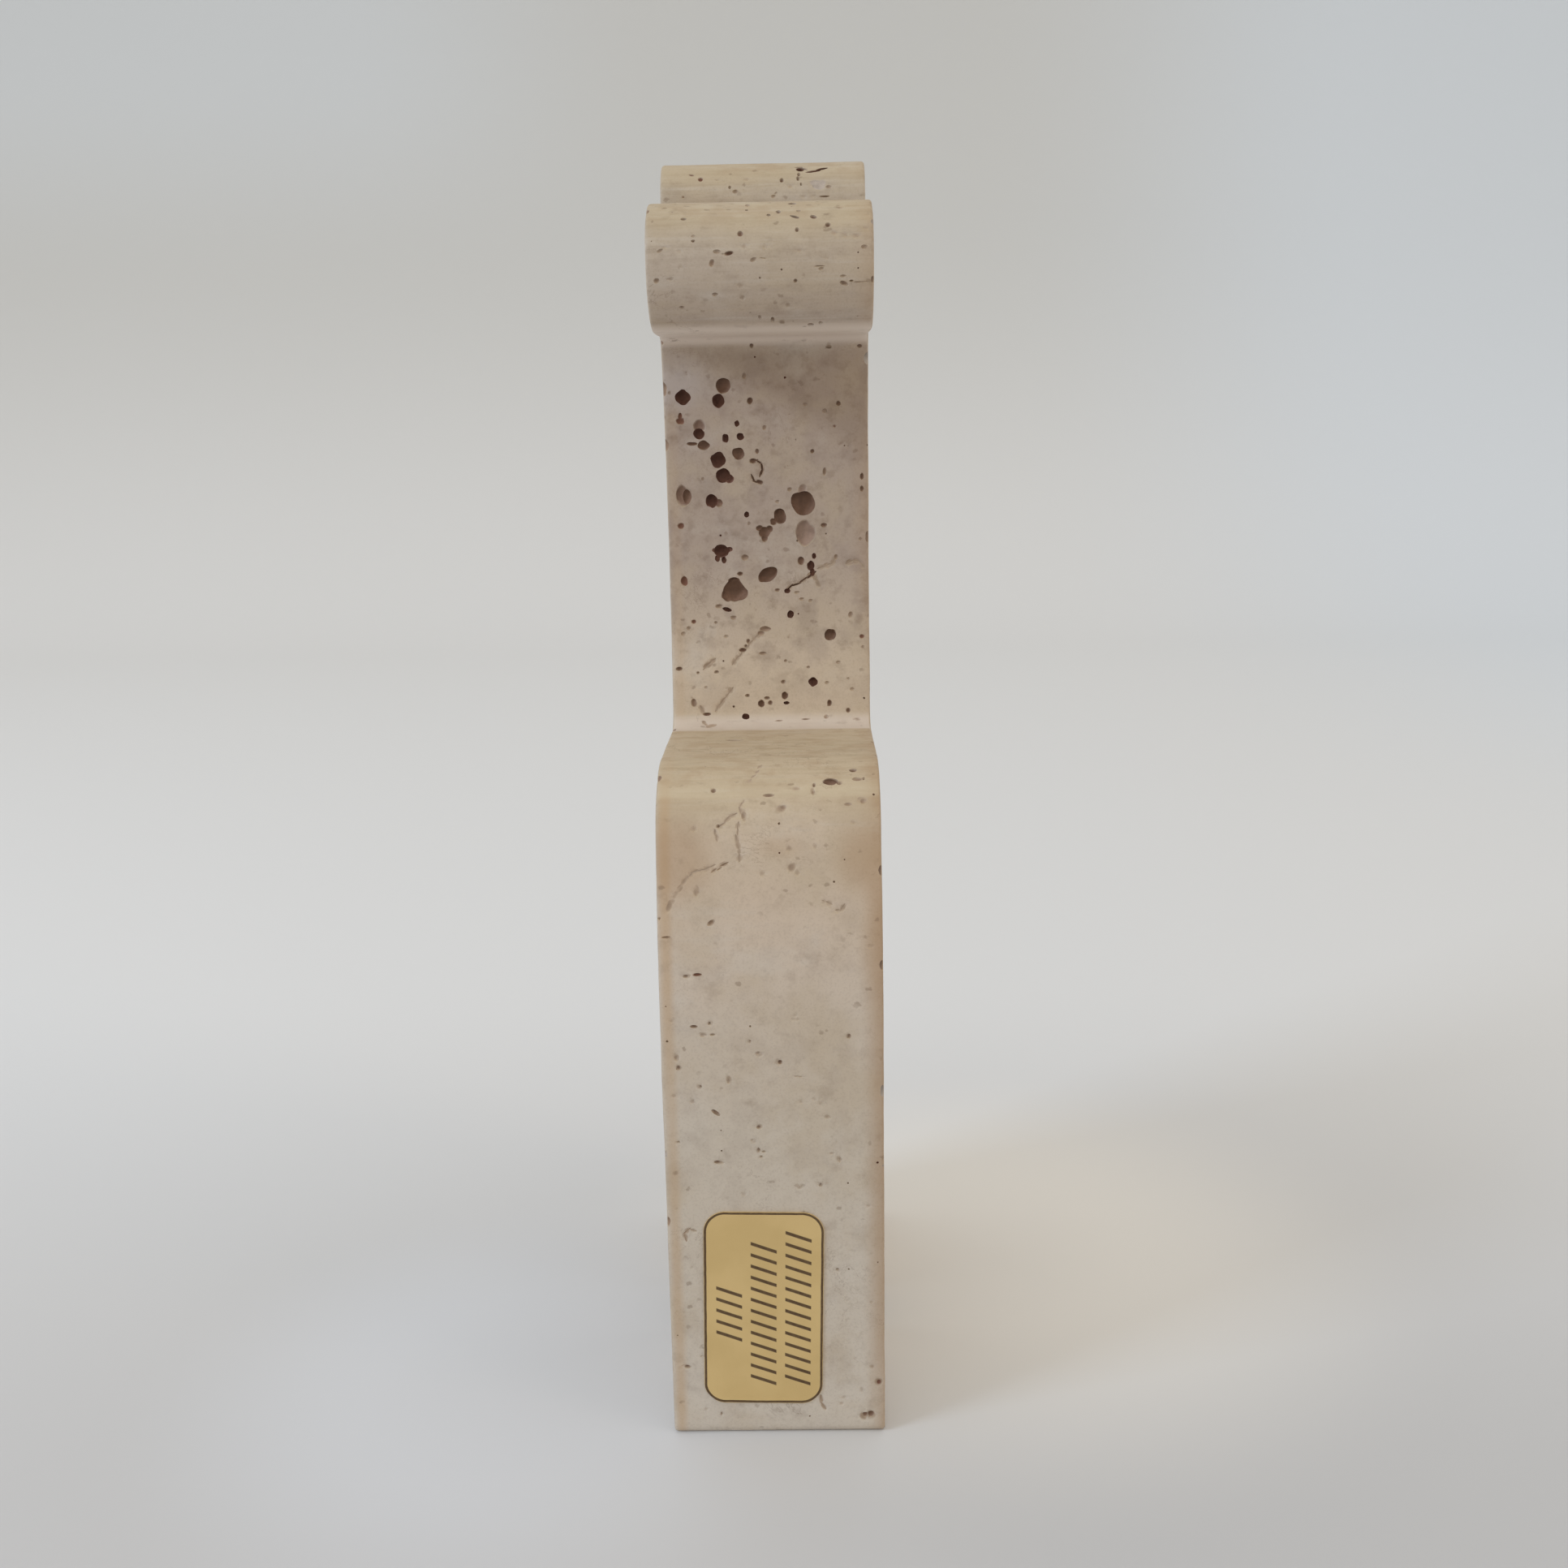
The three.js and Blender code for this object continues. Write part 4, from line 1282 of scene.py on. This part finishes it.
# %% Linings of the pits
# The lower walls of a pit, which look up, are painted paler than the upper ones, and the walls that
# face the window's side a little paler too: painted light from above and from the window.
MOUTH_DEPTH = (0.01, 0.14)
lined = stone.step(stone.attribute("depth") * stone.attribute("lining", "Alpha"), *MOUTH_DEPTH)
lining_grain = 0.7 + 0.6 * stone.noise(stone.place(), 1.4, 3)
painted_wall_light = 1 + 0.3 * upward - 0.22 * turned_across
lining_tone = stone.node("VectorMath", {"operation": "SCALE"},
                         {0: stone.attribute("lining", "Color"), "Scale": lining_grain * painted_wall_light})
stone.coat(lined, lining_tone)

# %% Sheen and grain of the surface
GRAIN_HEIGHT = 0.03
relief = grain + 0.6 * mottle - 1.2 * specks
bump = stone.node("Bump", None, {"Strength": 0.5, "Distance": GRAIN_HEIGHT * MM, "Height": relief})
stone.dress(Base_Color=stone.colour, Roughness=0.5 + 0.2 * mottle + 0.25 * lined,
            Specular_IOR_Level=0.35, Normal=bump)
giraffe.data.materials.append(stone.material)
print("Nodes in the stone's material:", len(stone.tree.nodes))

# %% [markdown]
# The foil sticker
# The real sticker is a small piece of gold foil paper with rounded corners, pressed on the rear of
# the hind leg a little askew. It is modelled as a thin plate at the CAD node's place. Its thin dark
# outline and its three rows of strokes are printed, so they are colour only.

# %% Sticker plate
STICKER_WIDTH = 16.6
STICKER_HEIGHT = 29.4
STICKER_CORNER = 3
STICKER_TILT = math.radians(1.2)
STICKER_CELL = 0.6
FOIL_WAVE = 0.1
FOIL_WAVE_LENGTH = 5
FOIL_FLAT_RIM = 0.5
sticker_middle = (sticker_low + sticker_high) / 2

deselect_all()
bpy.ops.mesh.primitive_cube_add(size=1, location=(0, 0, 0))
foil = bpy.context.object
foil.name = "foil_sticker"
foil.scale = (STICKER_WIDTH * MM, sticker_high.y - sticker_low.y, STICKER_HEIGHT * MM)
bpy.ops.object.transform_apply(location=False, rotation=False, scale=True)
edit_only(foil, "EDGE", lambda edge: len({round(end.y, 6) for end in edge_ends(foil, edge)}) == 2)
bpy.ops.mesh.bevel(offset=STICKER_CORNER * MM, segments=10, affect="EDGES")
for axis, length in ((0, STICKER_WIDTH), (2, STICKER_HEIGHT)):
    slice_up(axis, -length / 2 * MM, length / 2 * MM, STICKER_CELL * MM)
stop_editing()
print("Sticker faces:", len(foil.data.polygons))

# %% Waves in the foil, and its place
# The waves are only on the front, inside a flat rim.
wave_in(foil, FOIL_WAVE_LENGTH, FOIL_WAVE,
        lambda place: place.y < 0 and abs(place.x) < (STICKER_WIDTH / 2 - FOIL_FLAT_RIM) * MM
        and abs(place.z) < (STICKER_HEIGHT / 2 - FOIL_FLAT_RIM) * MM)
foil.rotation_euler = (0, STICKER_TILT, 0)
foil.location = sticker_middle
deselect_all()
foil.select_set(True)
bpy.context.view_layer.objects.active = foil
bpy.ops.object.transform_apply(location=True, rotation=True, scale=True)
bpy.ops.object.shade_smooth_by_angle(angle=math.radians(30))
print("Sticker box in mm:", [round(value / MM, 2) for value in foil.bound_box[0]],
      [round(value / MM, 2) for value in foil.bound_box[6]])

# %% Foil colours, outline and strokes
# Each row runs up the sticker. It has its middle across, and the strokes it starts and ends with,
# counted from the sticker's middle.
MUSTARD = tint(219, 189, 130)
OLD_MUSTARD = tint(211, 181, 122)
INK = tint(74, 50, 30)
OUTLINE_INSET = 0.2
OUTLINE_HALF = 0.14
ROWS = ((-4.8, -3, 2), (0, -7, 6), (4.8, -7, 7))
ROW_HALF = 1.8
STROKE_PITCH = 1.7
STROKE_HALF = 0.25
STROKE_SLANT = 0.35
BLUR = 0.05
STROKE_BLUR = 0.06

paper = Paint("gold_foil_paper")
centred = paper.node("VectorMath", {"operation": "SUBTRACT"},
                     {0: paper.place(), 1: [value / MM for value in sticker_middle]})
level = paper.node("Mapping", {"vector_type": "POINT"}, {0: centred, "Rotation": (0, -STICKER_TILT, 0)})
wide, _, tall = paper.parts(level)
past_wide = abs(wide) - (STICKER_WIDTH / 2 - STICKER_CORNER)
past_tall = abs(tall) - (STICKER_HEIGHT / 2 - STICKER_CORNER)
outside = paper.span(paper.high(past_wide, 0), paper.high(past_tall, 0))
rim = outside + paper.low(paper.high(past_wide, past_tall), 0) - STICKER_CORNER
rim = rim + 0.1 * (paper.noise(paper.place(), 0.5, 2) - 0.5)
ink = paper.step(abs(rim + OUTLINE_INSET), OUTLINE_HALF + BLUR, OUTLINE_HALF)
for middle, first, last in ROWS:
    along_row = (tall + STROKE_SLANT * (wide - middle)) / STROKE_PITCH
    in_row = (paper.step(abs(wide - middle), ROW_HALF + BLUR, ROW_HALF - BLUR)
              * paper.step(along_row, first - BLUR, first + BLUR)
              * paper.step(along_row, last + BLUR, last - BLUR))
    from_stroke = abs(paper.maths("FRACT", along_row) - 0.5) * STROKE_PITCH
    ink = ink + in_row * paper.step(from_stroke, STROKE_HALF + STROKE_BLUR, STROKE_HALF - STROKE_BLUR)
worn = paper.noise(paper.place(), 1.8, 4, 0.6)
faded = paper.step(paper.noise(paper.place(), 0.12, 3), 0.35, 0.65)
paper.colour = paper.mix(faded, MUSTARD, OLD_MUSTARD)
paper.coat(paper.low(ink, 1) * (0.82 + 0.2 * worn), INK)
wrinkles = paper.noise(paper.place((1, 1, 0.6)), 0.5, 4, 0.6)
crease = paper.node("Bump", None, {"Strength": 0.4, "Distance": 0.05 * MM, "Height": wrinkles})
paper.dress(Base_Color=paper.colour, Metallic=0.25, Roughness=0.42 + 0.15 * worn, Normal=crease)
foil.data.materials.append(paper.material)
print("Nodes in the foil's material:", len(paper.tree.nodes))

# %% [markdown]
# Handing the pieces to the frame
# Each piece rides on the one body and stands for its CAD node, which is hidden.

# %% Bodies and nodes
for piece, node, slot in ((giraffe, "giraffe", "travertine"), (foil, "sticker", "gold_foil")):
    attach(piece, "root")
    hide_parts(node)
